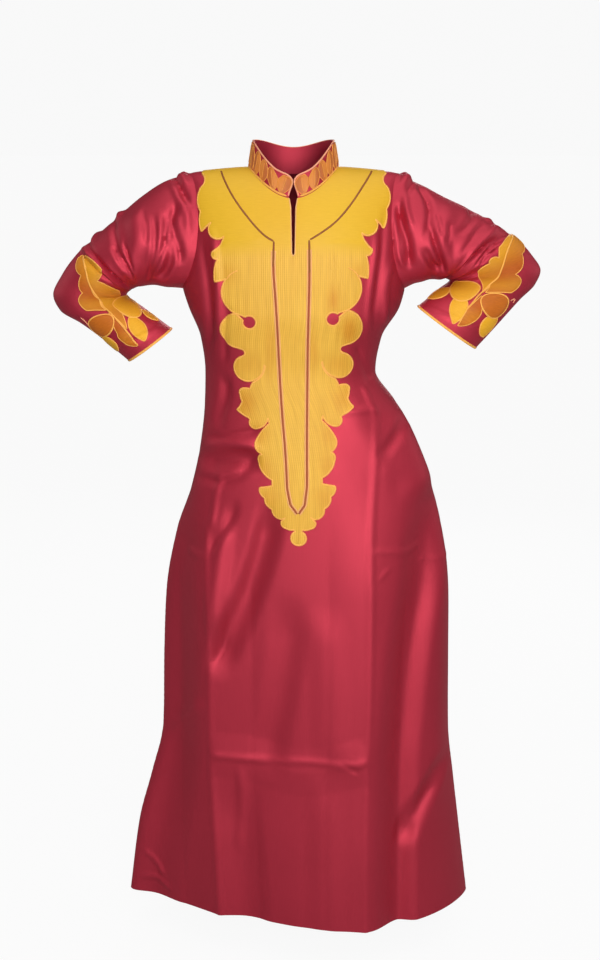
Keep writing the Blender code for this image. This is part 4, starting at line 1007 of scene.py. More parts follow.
def sew(pieces):
    """Ways out of the cloth that pieces share at their seams, which are drawn in along the thread."""
    keys = np.round(np.concatenate([piece.points for piece in pieces]), 6)
    _, numbers = np.unique(keys, axis=0, return_inverse=True)
    numbers = numbers.ravel()
    total = np.zeros((numbers.max() + 1, 3))
    rims = []
    first = 0
    for piece in pieces:
        own = numbers[first:first + len(piece.points)]
        first += len(piece.points)
        piece.numbers = own
        corners = piece.points[piece.faces]
        for i in range(3):
            to_next = corners[:, (i + 1) % 3] - corners[:, i]
            to_last = corners[:, (i + 2) % 3] - corners[:, i]
            cross = np.cross(to_next, to_last)
            angle = np.arctan2(np.linalg.norm(cross, axis=1), np.sum(to_next * to_last, axis=1))
            np.add.at(total, own[piece.faces[:, i]], unit(cross) * angle[:, None])
        rims.append(own[boundary(piece.faces)])
    edges = np.sort(np.concatenate(rims), axis=1)
    code, uses = np.unique(edges[:, 0] * len(total) + edges[:, 1], return_counts=True)
    sewn = np.unique([code[uses > 1] // len(total), code[uses > 1] % len(total)])
    place_of = np.zeros_like(total)
    for piece in pieces:
        place_of[piece.numbers] = piece.points
    tree = KDTree(len(sewn))
    for number in sewn:
        tree.insert(place_of[number], int(number))
    tree.balance()
    for piece in pieces:
        piece.normals = unit(total[piece.numbers])
        away = np.array([tree.find(point)[2] for point in piece.points])
        drawn = SEAM_DEPTH * np.exp(-(away / SEAM_WIDTH) ** 2)
        piece.points = piece.points - piece.normals * drawn[:, None]


sleeves = {}
forms = {"front": front_form, "back": back_form}
for hand, rings, creases in (("left", LEFT_RINGS, LEFT_CREASES), ("right", RIGHT_RINGS, RIGHT_CREASES)):
    edges = []
    for form in (front_form, back_form):
        edge = form.worn(form.armhole(hand, ARMHOLE_POINTS))
        edge[0] = side_seam(hand, np.array([UNDERARM_Z]))[0]
        edge[-1] = shoulder_seam(np.array([SHOULDER_TIP_X if hand == "right" else -SHOULDER_TIP_X]))[0]
        edges.append(edge)
    line = np.concatenate([edges[0], edges[1][::-1][1:]])
    form = Sleeve(rings, line, SLEEVE_FOLDS, creases)
    forms["sleeve_" + hand] = form
    sleeves["sleeve_" + hand] = sleeve_piece(form, line, ARMHOLE_POINTS - 1)

cloth = {"front": front, "back": back, **sleeves}
sew(list(cloth.values()))

for name, piece in cloth.items():
    panel = cloth_wall(name + "_satin", piece)
    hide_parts(name)


# Chest embroidery
# Yellow rayon thread over the whole chest: smooth fill at the top, rows of chain stitch below, and a
# lobed edge whipped with a satin-stitched cord. Two fine lines frame the middle panel.
WORK_LIFT = 0.0004
WORK_THICKNESS = 0.0012
PADDING_REACH = 0.005
FILL_SINKS = 0.0002
CORD_SINKS = 0.0004
CORD_FOOT = 0.7
THREAD_PITCH = 0.0011

# Edge: distance from the middle line, height, and how round it is on its way to the next row (the
# tangent of a quarter of its arc; 1 is a half circle, below 0 cuts in)
Knot = namedtuple("Knot", "reach z bend")
PLASTRON_EDGE = (
    Knot(0.161, -0.012, -0.60),
    Knot(0.160, -0.034, 0.30),
    Knot(0.160, -0.073, 0.15),
    Knot(0.158, -0.105, -0.05),
    Knot(0.140, -0.0895, 1.00),
    Knot(0.1175, -0.112, -0.20),
    Knot(0.136, -0.140, 0.60),
    Knot(0.126, -0.150, 0.12),
    Knot(0.1305, -0.1885, 0.05),
    Knot(0.112, -0.183, 0.58),
    Knot(0.085, -0.245, 0.00),
    Knot(0.0795, -0.248, -6.50),
    Knot(0.0835, -0.254, 0.00),
    Knot(0.096, -0.243, 0.88),
    Knot(0.096, -0.303, 0.00),
    Knot(0.0885, -0.305, -0.80),
    Knot(0.0875, -0.319, 0.35),
    Knot(0.1035, -0.340, 0.42),
    Knot(0.079, -0.3625, 0.38),
    Knot(0.0505, -0.332, 0.00),
    Knot(0.049, -0.334, -0.30),
    Knot(0.0715, -0.3645, 0.10),
    Knot(0.077, -0.377, 0.10),
    Knot(0.089, -0.3762, 0.60),
    Knot(0.095, -0.387, 0.15),
    Knot(0.092, -0.399, -0.15),
    Knot(0.102, -0.415, 0.08),
    Knot(0.083, -0.4275, 0.00),
    Knot(0.079, -0.431, 0.55),
    Knot(0.072, -0.447, 0.35),
    Knot(0.048, -0.427, 0.00),
    Knot(0.0455, -0.4375, 0.10),
    Knot(0.069, -0.467, 0.45),
    Knot(0.0597, -0.492, 0.50),
    Knot(0.0665, -0.508, 0.25),
    Knot(0.0437, -0.5375, 0.00),
    Knot(0.0437, -0.5485, -0.05),
    Knot(0.0665, -0.553, 0.35),
    Knot(0.0578, -0.571, 0.35),
    Knot(0.046, -0.592, 0.40),
    Knot(0.0335, -0.610, 0.35),
    Knot(0.022, -0.606, 0.00),
    Knot(0.0305, -0.6165, 0.45),
    Knot(0.0215, -0.627, 0.20),
    Knot(0.0075, -0.629, 0.00),
    Knot(0.005, -0.633, 0.85),
    Knot(0.000, -0.6575, 0.00),
)
PLASTRON_MIDDLE = ((-0.650, 0.009), (-0.560, 0.007), (-0.500, 0.005), (-0.420, 0.003), (-0.340, 0.000),
                   (-0.260, -0.004), (-0.200, -0.003), (-0.050, 0.001))
PLASTRON_TILT = 0.003
PLASTRON_SHOULDER_REACH = 0.158
PLASTRON_INSET = 0.003
SLIT_INSET = 0.0014
SLIT_CORD_INSET = 0.0008

# Where the thread turns to orange: middle, half size, and how much
Shade = namedtuple("Shade", "x z half_x half_z amount")
PLASTRON_SHADES = (
    Shade(-0.110, -0.178, 0.014, 0.016, 0.35),
    Shade(0.112, -0.172, 0.014, 0.016, 0.40),
    Shade(0.068, -0.222, 0.009, 0.022, 0.80),
    Shade(0.096, -0.276, 0.013, 0.026, 1.00),
    Shade(-0.082, -0.336, 0.024, 0.020, 0.35),
    Shade(0.080, -0.336, 0.024, 0.020, 0.50),
    Shade(-0.084, -0.404, 0.020, 0.028, 0.80),
    Shade(0.088, -0.396, 0.020, 0.028, 0.60),
    Shade(-0.060, -0.460, 0.016, 0.020, 0.60),
    Shade(0.064, -0.458, 0.016, 0.020, 0.50),
    Shade(-0.054, -0.520, 0.016, 0.024, 0.50),
    Shade(0.060, -0.514, 0.016, 0.024, 0.50),
    Shade(-0.044, -0.574, 0.018, 0.024, 0.50),
    Shade(0.056, -0.570, 0.018, 0.024, 0.50),
    Shade(0.034, -0.310, 0.010, 0.036, 0.50),
    Shade(-0.038, -0.300, 0.010, 0.050, 0.40),
)


def arc_places(start, end, bend, step):
    """Points from start up to, not with, end, on an arc that bulges to the left of its way."""
    start = np.array(start)
    chord = np.array(end) - start
    length = np.linalg.norm(chord)
    if abs(bend) < 0.02:
        count = max(1, round(length / step))
        return [start + chord * i / count for i in range(count)]
    angle = 4 * math.atan(bend)
    radius = length / 2 / math.sin(angle / 2)
    left = np.array([-chord[1], chord[0]]) / length
    centre = start + chord / 2 - left * radius * math.cos(angle / 2)
    count = max(2, round(abs(radius * angle) / step))
    places = []
    for i in range(count):
        turn = -angle * i / count
        off = start - centre
        places.append(centre + (off[0] * math.cos(turn) - off[1] * math.sin(turn),
                                off[0] * math.sin(turn) + off[1] * math.cos(turn)))
    return places


def arc_loop(knots, step):
    """Closed loop of arcs through a table of knots."""
    loop = []
    for knot, after in zip(knots, [*knots[1:], knots[0]]):
        loop.extend(arc_places(knot[:2], after[:2], knot[2], step))
    return loop


class Work:
    """Embroidery on one form, gathered into one piece."""

    def __init__(self, form):
        self.form = form
        self.points = []
        self.faces = []
        self.pattern = []
        self.tone = []
        self.count = 0

    def add(self, points, faces, pattern, tone):
        self.points.append(points)
        self.faces.extend([[i + self.count for i in face] for face in faces])
        self.pattern.append(np.pad(pattern, ((0, 0), (0, 1))))
        self.tone.append(np.broadcast_to(tone, len(points)))
        self.count += len(points)

    def patch(self, loop, lift, tone, thickness=0.0009, dome=0.0006, step=0.004):
        """A filled shape with a padded middle. Tone is a number or a function of the places."""
        places, faces, _ = triangulate(loop, [], step)
        points, ways_out = self.form.surface(places)
        corners = points[faces]
        turned = np.cross(corners[:, 1] - corners[:, 0], corners[:, 2] - corners[:, 0])
        if np.sum(turned * ways_out[faces[:, 0]]) < 0:
            faces = faces[:, ::-1]
        starts = np.asarray(loop, float)
        rise = ease(edge_distance(places, starts, np.roll(starts, -1, axis=0) - starts) / PADDING_REACH)
        top = points + ways_out * (lift + thickness + dome * rise)[:, None]
        low = points + ways_out * (lift - FILL_SINKS)
        tone = tone(places) if callable(tone) else np.full(len(points), float(tone))
        self.add(np.concatenate([top, low]), wall_faces(faces, len(points)),
                 np.concatenate([places, places]), np.concatenate([tone, tone]))

    def cord(self, places, width, height, lift, closed=False, step=0.0022, sides=7):
        """A low round ridge of thread along a line of places, tapered where it ends."""
        places = np.asarray(places, float)
        if closed:
            places = np.concatenate([places, places[:1]])
        arc = arc_length(self.form.worn(places))
        count = max(4, round(arc[-1] / step))
        even = np.linspace(0, arc[-1], count, endpoint=not closed)
        places = points_along(places, arc, even)
        points, ways_out = self.form.surface(places)
        if closed:
            ahead = np.roll(points, -1, axis=0) - np.roll(points, 1, axis=0)
        else:
            ahead = np.gradient(points, axis=0)
        side = unit(np.cross(ways_out, ahead))
        full = np.ones(count)
        if not closed:
            full = np.sqrt(ease(np.minimum(even, arc[-1] - even) / width + 0.05))
        turn = np.linspace(0, math.pi, sides)
        out = np.concatenate([-np.cos(turn), [CORD_FOOT, -CORD_FOOT]])
        over = np.concatenate([lift + height * np.sin(turn), [lift - CORD_SINKS] * 2])
        ring = (points[:, None] + side[:, None] * (full[:, None] * out[None] * width / 2)[:, :, None]
                + ways_out[:, None] * (over[None] * full[:, None])[:, :, None])
        size = len(out)
        faces = []
        for i in range(count if closed else count - 1):
            j = (i + 1) % count
            for k in range(size):
                m = (k + 1) % size
                faces.append([i * size + k, j * size + k, j * size + m, i * size + m])
        if not closed:
            faces.append(list(range(size)))
            faces.append([(count - 1) * size + k for k in reversed(range(size))])
        pattern = np.stack([np.repeat(even, size), np.tile(out * width / 2, count)], axis=1)
        self.add(ring.reshape(-1, 3), faces, pattern, 0.0)

    def sewn(self, name, finish, slot):
        """The finished piece."""
        layers = {"pattern": np.concatenate(self.pattern), "tone": np.concatenate(self.tone)}
        return stitched(name, np.concatenate(self.points), self.faces, finish, 50, layers)


def cord_finish(name, base, deep, roughness=0.42):
    """Satin stitch: threads side by side across the cord, with painted shade in the grooves between
    them and a little wear.
    """
    thread = Finish(name, {"Specular IOR Level": 0.5})
    threads = thread.waves("X", THREAD_PITCH)
    wear = thread.noise((160, 160, 1))
    # Painted shade: the colour darkens in the grooves between the threads, on the same waves as the
    # bump
    thread.colour(thread.mix(deep, base, 0.45 + 0.35 * threads + 0.2 * wear))
    thread.roughness(roughness + 0.1 * wear)
    thread.bump(threads, 0.00018)
    return thread


def plastron_side(sign):
    """The lobed edge on one side of the middle line, from shoulder to tip, on the front's pattern."""
    side = []
    for knot, after in zip(PLASTRON_EDGE, PLASTRON_EDGE[1:]):
        side.extend(arc_places(knot[:2], after[:2], knot.bend, 0.0024))
    side.append(PLASTRON_EDGE[-1][:2])
    reach, z = np.array(side).T
    middle_z, middle_x = np.array(PLASTRON_MIDDLE).T
    x = smooth(middle_z, middle_x, z) + sign * reach
    z = z + sign * PLASTRON_TILT * ease(-z / 0.12) * ease((z + 0.640) / 0.08)
    return [front_form.seen_at(*place) for place in zip(x, z)]


def plastron_tone(places):
    """How orange the thread is."""
    x, _, z = front_form.worn(places).T
    tone = 0.10 + 0.08 * np.sin(31 * x + 9 * z) * np.sin(17 * z)
    for shade in PLASTRON_SHADES:
        away = ((x - shade.x) / shade.half_x) ** 2 + ((z - shade.z) / shade.half_z) ** 2
        tone = tone + shade.amount * np.exp(-away)
    return np.clip(tone, 0, 1)


right_edge = plastron_side(1)
left_edge = plastron_side(-1)
shoulder = np.linspace(NECK_HALF_WIDTH + PLASTRON_INSET, PLASTRON_SHOULDER_REACH, 12)
seam_y = -PLASTRON_INSET
plastron_loop = (
    [front_form.plan_at(x, seam_y) for x in shoulder] + right_edge + left_edge[-2::-1]
    + [front_form.plan_at(-x, seam_y) for x in shoulder[::-1]]
    + neck_places(front_form, NECK_FRONT, -NECK_DEGREES[-2::-1], SLIT_INSET)
    + slit_places(front_form, SLIT_INSET)[::-1]
    + neck_places(front_form, NECK_FRONT, NECK_DEGREES[:-1], SLIT_INSET))

# Smooth fill down to this height and chain stitch below it, in rows of links
CHAIN_TOP = -0.125
CHAIN_ROW = 0.0036
CHAIN_LINK = 0.0030
yellow = Finish("yellow chain stitch", {"Specular IOR Level": 0.35})
lower = (CHAIN_TOP - yellow.pattern("Y")) * 40.0
lower = lower.math("MINIMUM", lower.math("MAXIMUM", lower, 0.0), 1.0)
rows = yellow.waves("X", CHAIN_ROW)
links = yellow.waves("Y", CHAIN_LINK)
threads = yellow.noise((300, 16, 1), 3.0)
worn_rows = yellow.noise((110, 10, 1), 2.0)
fill = yellow.noise((60, 500, 1), 2.0)
top_colour = yellow.mix((0.66, 0.37, 0.012), (0.76, 0.45, 0.024), fill)
# Painted shade: the grooves between the chain-stitch rows and between their links are coloured darker,
# on top of the thread's own random tone
row_tone_and_painted_shade = 0.18 * rows + 0.07 * links + 0.55 * threads + 0.35 * worn_rows
row_colour = yellow.mix((0.52, 0.23, 0.010), (0.92, 0.56, 0.075), row_tone_and_painted_shade)
base_colour = yellow.mix(top_colour, row_colour, lower)
orange_colour = yellow.mix((0.50, 0.16, 0.006), (0.72, 0.31, 0.016), threads)
yellow.colour(yellow.mix(base_colour, orange_colour, yellow.tone() * 0.8))
yellow.roughness(0.50 + 0.12 * threads)
yellow.bump((0.6 * rows + 0.2 * links) * lower + 0.3 * threads + 0.25 * fill * (1 - lower), 0.0005)

plastron = Work(front_form)
plastron.patch(plastron_loop, WORK_LIFT, plastron_tone, thickness=WORK_THICKNESS, dome=0.0005)
plastron_piece = plastron.sewn("plastron_fill", yellow, "embroidery_yellow")
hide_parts("plastron")

WORK_TOP = WORK_LIFT + WORK_THICKNESS + 0.0004
golden_cord = cord_finish("golden cord", (0.92, 0.47, 0.085), (0.76, 0.30, 0.040))
edging = Work(front_form)
edging.cord(right_edge + left_edge[-2::-1], width=0.0038, height=0.0015, lift=0.0006)
# The cord of the first large lobe on each side runs on over the fill
LOBE_TAILS = (((0.1115, -0.1835), (0.089, -0.166), -0.25), ((-0.1145, -0.188), (-0.090, -0.171), 0.25))
for start, end, bend in LOBE_TAILS:
    tail = [front_form.seen_at(*place) for place in arc_places(start, end, bend, 0.003)]
    edging.cord(tail, width=0.0026, height=0.0009, lift=WORK_TOP - 0.0003)
edging.sewn("plastron_cord", golden_cord, "embroidery_yellow")
peach_thread = cord_finish("peach thread", (0.86, 0.44, 0.17), (0.70, 0.28, 0.08))
slit_cord = Work(front_form)
right_end = neck_places(front_form, NECK_FRONT, NECK_DEGREES[:1], SLIT_CORD_INSET)
left_end = neck_places(front_form, NECK_FRONT, -NECK_DEGREES[:1], SLIT_CORD_INSET)
slit_line = right_end + slit_places(front_form, SLIT_CORD_INSET) + left_end
slit_cord.cord(slit_line, width=0.0028, height=0.0014, lift=0.0004)
slit_cord.sewn("slit_cord", peach_thread, "embroidery_yellow")

# Lines of the middle panel, as seen from the front
LINE_WIDTH = 0.0034
BORDER_SHIFT = 0.0031
LEFT_LINE_TOP = ((-0.126, -0.009), (-0.117, -0.027), (-0.103, -0.051), (-0.083, -0.077),
                 (-0.063, -0.100), (-0.048, -0.114), (-0.032, -0.123))
RIGHT_LINE_TOP = ((0.137, -0.009), (0.119, -0.034), (0.099, -0.062), (0.077, -0.087), (0.055, -0.104),
                  (0.027, -0.1205))
LEFT_LINE = ((-0.033, -0.124), (-0.0345, -0.167), (-0.031, -0.211), (-0.0277, -0.266), (-0.024, -0.354),
             (-0.020, -0.422), (-0.014, -0.490), (-0.010, -0.578), (0.008, -0.602))
RIGHT_LINE = ((0.027, -0.122), (0.0275, -0.178), (0.026, -0.243), (0.0245, -0.309), (0.024, -0.377),
              (0.0235, -0.467), (0.024, -0.578), (0.008, -0.602))


def rounded(points, rounds=2):
    """A line of points with its corners rounded off."""
    points = np.array(points)
    for _ in range(rounds):
        mids = [points[:-1] * 0.75 + points[1:] * 0.25, points[:-1] * 0.25 + points[1:] * 0.75]
        points = np.concatenate([points[:1], np.stack(mids, axis=1).reshape(-1, 2), points[-1:]])
    return points


def seen_line(points, rounds, shift=0.0):
    """Pattern places along a line seen from the front, rounded off, or shifted to its left."""
    points = rounded(points, rounds)
    arc = arc_length(points)
    even = np.linspace(0, arc[-1], max(2, round(arc[-1] / 0.004)))
    points = points_along(points, arc, even)
    run = unit(np.gradient(points, axis=0))
    points = points + shift * np.stack([-run[:, 1], run[:, 0]], axis=1)
    return [front_form.seen_at(*place) for place in points]


brown_thread = cord_finish("brown thread", (0.30, 0.085, 0.008), (0.16, 0.035, 0.004), 0.5)
brown_lines = Work(front_form)
for points in (LEFT_LINE_TOP, RIGHT_LINE_TOP):
    brown_lines.cord(seen_line(points, 2), width=LINE_WIDTH, height=0.0007, lift=WORK_TOP)
for points in (LEFT_LINE, RIGHT_LINE):
    top = [(points[0][0], points[0][1] + 0.0035), points[1]]
    brown_lines.cord(seen_line(top, 0), width=LINE_WIDTH, height=0.0008, lift=WORK_TOP)
brown_lines.sewn("plastron_upper_lines", brown_thread, "embroidery_yellow")
rust_thread = cord_finish("rust thread", (0.42, 0.085, 0.020), (0.22, 0.030, 0.008), 0.5)
rust_lines = Work(front_form)
peach_lines = Work(front_form)
for points in (LEFT_LINE, RIGHT_LINE):
    rust_lines.cord(seen_line(points, 1), width=0.0036, height=0.0007, lift=WORK_TOP)
    for shift in (-BORDER_SHIFT, BORDER_SHIFT):
        border = seen_line(points, 1, shift)[3:]
        peach_lines.cord(border, width=0.0026, height=0.0007, lift=WORK_TOP)
rust_lines.sewn("plastron_lower_lines", rust_thread, "embroidery_yellow")
peach_lines.sewn("plastron_line_borders", peach_thread, "embroidery_yellow")


# Collar
# A stand collar of interfaced satin, 46 mm high at the sides and 36 mm at the front, where its rounded
# ends meet over the slit. Overlapping orange leaves are stitched on it, and its edges are corded.
COLLAR_CLOTH = 0.0022
COLLAR_FRONT_HEIGHT = 0.036
COLLAR_SIDE_HEIGHT = 0.046
COLLAR_RISE_LENGTH = 0.12
COLLAR_LEAN = 0.16
COLLAR_CORNER = 0.014
COLLAR_CLOSING = 0.0066
COLLAR_CLOSING_LENGTH = 0.035
COLLAR_CLOSING_RISE = 0.026
FILL_RIDGE = 0.0012


class Collar(Form):
    """The stand collar. A pattern place is round, from its right front end, and up."""

    def __init__(self, edge):
        self.edge = edge
        self.arc = arc_length(edge)
        self.length = self.arc[-1]
        self.inward = unit(-edge * np.array([1, 1, 0]))

    def height(self, around):
        to_end = np.minimum(around, self.length - around)
        rise = ease(to_end / COLLAR_RISE_LENGTH)
        height = COLLAR_FRONT_HEIGHT + (COLLAR_SIDE_HEIGHT - COLLAR_FRONT_HEIGHT) * rise
        cut = np.clip(1 - to_end / COLLAR_CORNER, 0, 1)
        return height - COLLAR_CORNER * (1 - np.sqrt(1 - cut ** 2))

    def worn(self, places):
        around, up = np.asarray(places, float).T
        foot = points_along(self.edge, self.arc, around)
        inward = points_along(self.inward, self.arc, around)
        points = foot + up[:, None] * (inward * COLLAR_LEAN + (0, 0, 1))
        to_end = np.minimum(around, self.length - around)
        closing = ease(1 - to_end / COLLAR_CLOSING_LENGTH) * ease(up / COLLAR_CLOSING_RISE)
        points[:, 0] -= np.sign(foot[:, 0]) * (COLLAR_CLOSING * closing)
        return points


right_front = front_form.worn(neck_places(front_form, NECK_FRONT, NECK_DEGREES))
left_front = front_form.worn(neck_places(front_form, NECK_FRONT, -NECK_DEGREES[::-1]))
shoulder_points = shoulder_seam(np.array([NECK_HALF_WIDTH, -NECK_HALF_WIDTH]))
back_line = back_form.worn(back_neck)
neck_line = [right_front, shoulder_points[:1], back_line, shoulder_points[1:], left_front]
collar_form = Collar(np.concatenate(neck_line) + (0, 0, 0.0003))
rounds = np.linspace(0, collar_form.length, 150)
corner = np.linspace(0, COLLAR_CORNER, 10)[1:-1]
tops = np.sort(np.concatenate([rounds, corner, collar_form.length - corner]))
collar_outline = [(place, 0.0) for place in rounds]
collar_outline += [(place, collar_form.height(place)) for place in tops[::-1]]
collar_band = Work(collar_form)
probe = collar_form.surface([(collar_form.length / 2, 0.02)])
if np.dot(probe[1][0], probe[0][0] * (1, 1, 0)) < 0:
    collar_form.outward = -1
collar_band.patch(collar_outline, -COLLAR_CLOTH, 0.0, thickness=COLLAR_CLOTH, dome=0, step=0.005)
collar_piece = collar_band.sewn("collar_band", satin, "satin")
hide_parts("collar")


def fill_finish(name, gloss, roughness, ridges, scale, light, deep):
    """Fill stitch: fine ridges of thread in two tones, which each patch blends. The tones are thread
    colours on the sleeves, and a painted sheen and painted shade on the collar leaves.
    """
    fill = Finish(name, {"Specular IOR Level": gloss})
    threads = fill.noise(scale, 3.0)
    fill.colour(fill.mix(fill.mix(*light, threads), fill.mix(*deep, threads), fill.tone()))
    fill.roughness(roughness + 0.14 * threads)
    fill.bump(0.5 * fill.waves(ridges, FILL_RIDGE) + 0.5 * threads, 0.0003)
    return fill


# On the leaves the light and deep oranges are one thread, lit and shaded: a painted sheen and a painted
# shade
orange = fill_finish(
    "orange fill stitch", gloss=0.5, roughness=0.42, ridges="X", scale=(380, 60, 1),
    light=((0.60, 0.17, 0.014), (0.76, 0.26, 0.030)), deep=((0.38, 0.080, 0.007), (0.54, 0.13, 0.013)))

# Leaves that overlap a little, each with a painted sheen on one half and painted shade on the other, a
# light vein and a light edge
COLLAR_LEAVES = 22
LEAF_HALF_WIDTH = 0.0118
LEAF_END_HALF_WIDTH = 0.0040
LEAF_SWAY = 0.0030
FIRST_LEAF = 0.0122
LEAF_MARGIN = 0.0032
LEAF_RIM_MARGIN = 0.0030
LEAF_END_MARGIN = 0.0022
leaves = Work(collar_form)
leaf_threads = Work(collar_form)
for number in range(COLLAR_LEAVES):
    middle = FIRST_LEAF + (collar_form.length - 2 * FIRST_LEAF) * number / (COLLAR_LEAVES - 1)
    band = float(collar_form.height(middle))
    lean = LEAF_SWAY * math.sin(2.1 * number + 0.5)
    share = np.linspace(-1, 1, 13)
    half = LEAF_END_HALF_WIDTH + (LEAF_HALF_WIDTH - LEAF_END_HALF_WIDTH) * np.cos(share * math.pi / 2)
    up = band / 2 + share * (band / 2 - LEAF_MARGIN)
    spine = middle + lean * share
    across = np.concatenate([spine + half, (spine - half)[::-1]])
    height = np.concatenate([up, up[::-1]])
    rim = collar_form.height(np.clip(across, 0, collar_form.length)) - LEAF_RIM_MARGIN
    across = np.clip(across, LEAF_END_MARGIN, collar_form.length - LEAF_END_MARGIN)
    loop = np.stack([across, np.minimum(height, rim)], axis=1)

    # Painted sheen: which half of each leaf is lit and which is shaded, alternating from leaf to leaf
    def leaf_painted_sheen(places, spine_at=(middle, lean, band), number=number):
        side = places[:, 0] - spine_at[0] - spine_at[1] * (2 * places[:, 1] / spine_at[2] - 1)
        return np.clip(0.45 + side / 0.008 * (1 if number % 2 else -1), 0.05, 0.9)

    lift = 0.0003 + 0.0005 * (number % 2)
    leaves.patch(loop, lift, leaf_painted_sheen, thickness=0.0006, dome=0.0007, step=0.0035)
    leaf_threads.cord(
        loop, width=0.0014, height=0.0008, lift=lift + 0.0004, closed=True, step=0.003, sides=5)
    vein = np.stack([spine, up], axis=1)[1:-1]
    leaf_threads.cord(vein, width=0.0012, height=0.0006, lift=lift + 0.0012, sides=5)
leaves.sewn("collar_leaves", orange, "embroidery_orange")
leaf_thread = cord_finish("light orange thread", (0.82, 0.34, 0.055), (0.64, 0.20, 0.025))
leaf_threads.sewn("collar_leaf_threads", leaf_thread, "embroidery_orange")

pink_cord = cord_finish("pink edge cord", (0.90, 0.38, 0.22), (0.74, 0.24, 0.12))
collar_cords = Work(collar_form)
edge_start = 0.0012
edge_end = collar_form.length - edge_start
edge_line = [(edge_start, height) for height in np.linspace(0.001, 0.018, 6)]
edge_line += [(place, collar_form.height(place) - 0.0006)
              for place in tops if edge_start < place < edge_end]
edge_line += [(edge_end, height) for height in np.linspace(0.018, 0.001, 6)]
collar_cords.cord(edge_line, width=0.0030, height=0.0013, lift=-0.0006)
collar_cords.sewn("collar_edge_cord", pink_cord, "embroidery_orange")
foot_cord = Work(collar_form)
foot_line = [(place, 0.0010) for place in rounds[1:-1]]
foot_cord.cord(foot_line, width=0.0034, height=0.0015, lift=0.0002)
foot_cord.sewn("collar_foot_cord", golden_cord, "embroidery_orange")


# Sleeve embroidery
# On each forearm a notched leaf in two oranges along a corded vein, two round flowers and the petals
# that grow out of them. The cuff's edge is whipped with the same cord.
SLEEVE_CORD = 0.0030

# Each shape is on the sleeve's pattern: a disc by its middle and its halves across and down as worn,
# the others by knots with their bends. Tone runs from yellow at 0 to red-brown at 1.
Motif = namedtuple("Motif", "vein blades discs petals curl")
Shape = namedtuple("Shape", "knots tone")
MOTIFS = {
    "left": Motif(
        ((-0.034, 0.182), (-0.075, 0.190), (-0.107, 0.217), (-0.137, 0.260), (-0.127, 0.318),
         (-0.112, 0.365), (-0.099, 0.419)),
        (
            Shape(((-0.034, 0.182, -0.25), (-0.078, 0.206, -0.20), (-0.100, 0.241, -0.15),
                   (-0.097, 0.300, 0.10), (-0.125, 0.314, 0.0), (-0.133, 0.262, 0.0),
                   (-0.107, 0.219, 0.0), (-0.075, 0.191, 0.0)), 0.80),
            Shape(((-0.040, 0.181, 0.10), (-0.103, 0.173, 0.20), (-0.111, 0.201, 0.10),
                   (-0.165, 0.204, 0.20), (-0.161, 0.295, 0.10), (-0.114, 0.373, 0.0),
                   (-0.127, 0.314, 0.0), (-0.133, 0.262, 0.0), (-0.107, 0.219, 0.0),
                   (-0.075, 0.191, 0.0)), 0.50),
            Shape(((-0.124, 0.322, 0.0), (-0.094, 0.361, 0.10), (-0.082, 0.378, -0.35),
                   (-0.097, 0.421, 0.0), (-0.112, 0.370, 0.0)), 0.95),
        ),
        (
            Shape(((-0.079, 0.343), (-0.025, 0.008), (0.031, 0.0195)), 0.90),
            Shape(((-0.180, 0.310), (-0.025, 0.020), (0.030, 0.048)), 0.15),
        ),
        (
            Shape(((-0.055, 0.362, 0.70), (-0.028, 0.405, 0.65)), 0.0),
            Shape(((-0.150, 0.350, 0.48), (-0.118, 0.421, 0.45)), 0.0),
            Shape(((-0.190, 0.352, 0.45), (-0.203, 0.402, 0.60)), 0.30),
        ),
        ((-0.063, 0.315), (-0.056, 0.328), (-0.043, 0.341)),
    ),
    "right": Motif(
        ((-0.003, 0.176), (-0.050, 0.181), (-0.080, 0.198), (-0.103, 0.234), (-0.119, 0.277),
         (-0.117, 0.325), (-0.113, 0.378)),
        (
            Shape(((-0.003, 0.176, -0.20), (-0.011, 0.198, -0.10), (-0.047, 0.210, -0.15),
                   (-0.083, 0.250, -0.25), (-0.072, 0.312, 0.10), (-0.112, 0.318, 0.0),
                   (-0.118, 0.277, 0.0), (-0.102, 0.234, 0.0), (-0.080, 0.200, 0.0),
                   (-0.050, 0.182, 0.0)), 0.80),
            Shape(((-0.005, 0.174, 0.08), (-0.070, 0.175, 0.10), (-0.088, 0.195, 1.20),
                   (-0.105, 0.196, 0.60), (-0.131, 0.215, 0.15), (-0.128, 0.284, 0.05),
                   (-0.116, 0.320, 0.0), (-0.118, 0.277, 0.0), (-0.102, 0.234, 0.0),
                   (-0.080, 0.200, 0.0), (-0.050, 0.182, 0.0)), 0.50),
            Shape(((-0.112, 0.330, 0.0), (-0.089, 0.370, -0.20), (-0.086, 0.395, -0.20),
                   (-0.104, 0.420, 0.0), (-0.113, 0.377, 0.0)), 0.95),
        ),
        (
            Shape(((-0.077, 0.347), (0.024, -0.006), (0.021, 0.0285)), 0.90),
            Shape(((-0.153, 0.309), (0.026, -0.005), (0.017, 0.053)), 0.15),
        ),
        (
            Shape(((-0.068, 0.370, 0.65), (-0.036, 0.414, 0.65)), 0.0),
            Shape(((-0.145, 0.338, 0.32), (-0.112, 0.422, 0.35)), 0.0),
            Shape(((-0.179, 0.322, 0.40), (-0.209, 0.398, 0.60)), 0.40),
        ),
        ((-0.054, 0.333), (-0.046, 0.326), (-0.040, 0.338)),
    ),
}

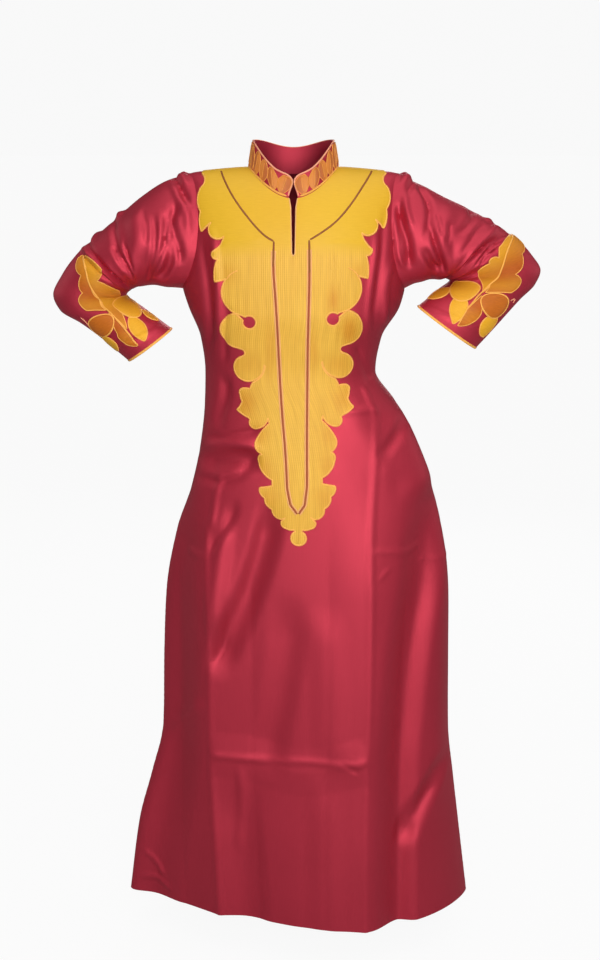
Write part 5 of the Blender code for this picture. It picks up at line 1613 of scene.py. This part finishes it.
gold = fill_finish(
    "golden fill stitch", gloss=0.3, roughness=0.50, ridges="Y", scale=(90, 380, 1),
    light=((0.72, 0.33, 0.010), (0.88, 0.45, 0.024)), deep=((0.38, 0.070, 0.004), (0.58, 0.13, 0.008)))

for hand, motif in MOTIFS.items():
    form = forms["sleeve_" + hand]
    work = Work(form)
    cords = Work(form)
    for petal in motif.petals:
        loop = arc_loop(petal.knots, 0.003)
        work.patch(loop, lift=0.0004, tone=petal.tone)
        cords.cord(loop, width=SLEEVE_CORD * 0.8, height=0.0013, lift=0.0006, closed=True)
    turn = np.linspace(0, 2 * math.pi, 40, endpoint=False)[:, None]
    for disc in motif.discs:
        middle, across, down = np.array(disc.knots)
        loop = middle + across * np.cos(turn) + down * np.sin(turn)
        loop[:, 0] = np.maximum(loop[:, 0], 0.0035 - SLEEVE_GIRTH / 2)
        work.patch(loop.tolist(), lift=0.0010, tone=disc.tone, dome=0.0012)
        cords.cord(loop, width=SLEEVE_CORD, height=0.0014, lift=0.0012, closed=True)
    for blade in motif.blades:
        loop = arc_loop(blade.knots, 0.003)

        def blade_tone(places, base=blade.tone):
            return base + 0.2 * np.sin(places[:, 1] * 60)

        work.patch(loop, lift=0.0008, tone=blade_tone)
        cords.cord(loop, width=SLEEVE_CORD * 0.7, height=0.0012, lift=0.0009, closed=True)
    cords.cord(rounded(motif.vein), width=SLEEVE_CORD, height=0.0016, lift=0.0014)
    piece = work.sewn("sleeve_leaves_" + hand, gold, "embroidery_orange")
    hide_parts("sleeve_work_" + hand)
    around_cuff = np.linspace(-SLEEVE_GIRTH / 2, SLEEVE_GIRTH / 2, 90)
    cuff = [(place, SLEEVE_LENGTH - 0.0016) for place in around_cuff]
    cords.cord(cuff, width=0.0044, height=0.0014, lift=-0.0004)
    cords.sewn("sleeve_cords_" + hand, golden_cord, "embroidery_orange")
    curl = Work(form)
    curl.cord(rounded(motif.curl), width=0.0022, height=0.0012, lift=0.0002)
    curl.sewn("sleeve_curl_" + hand, pink_cord, "embroidery_orange")
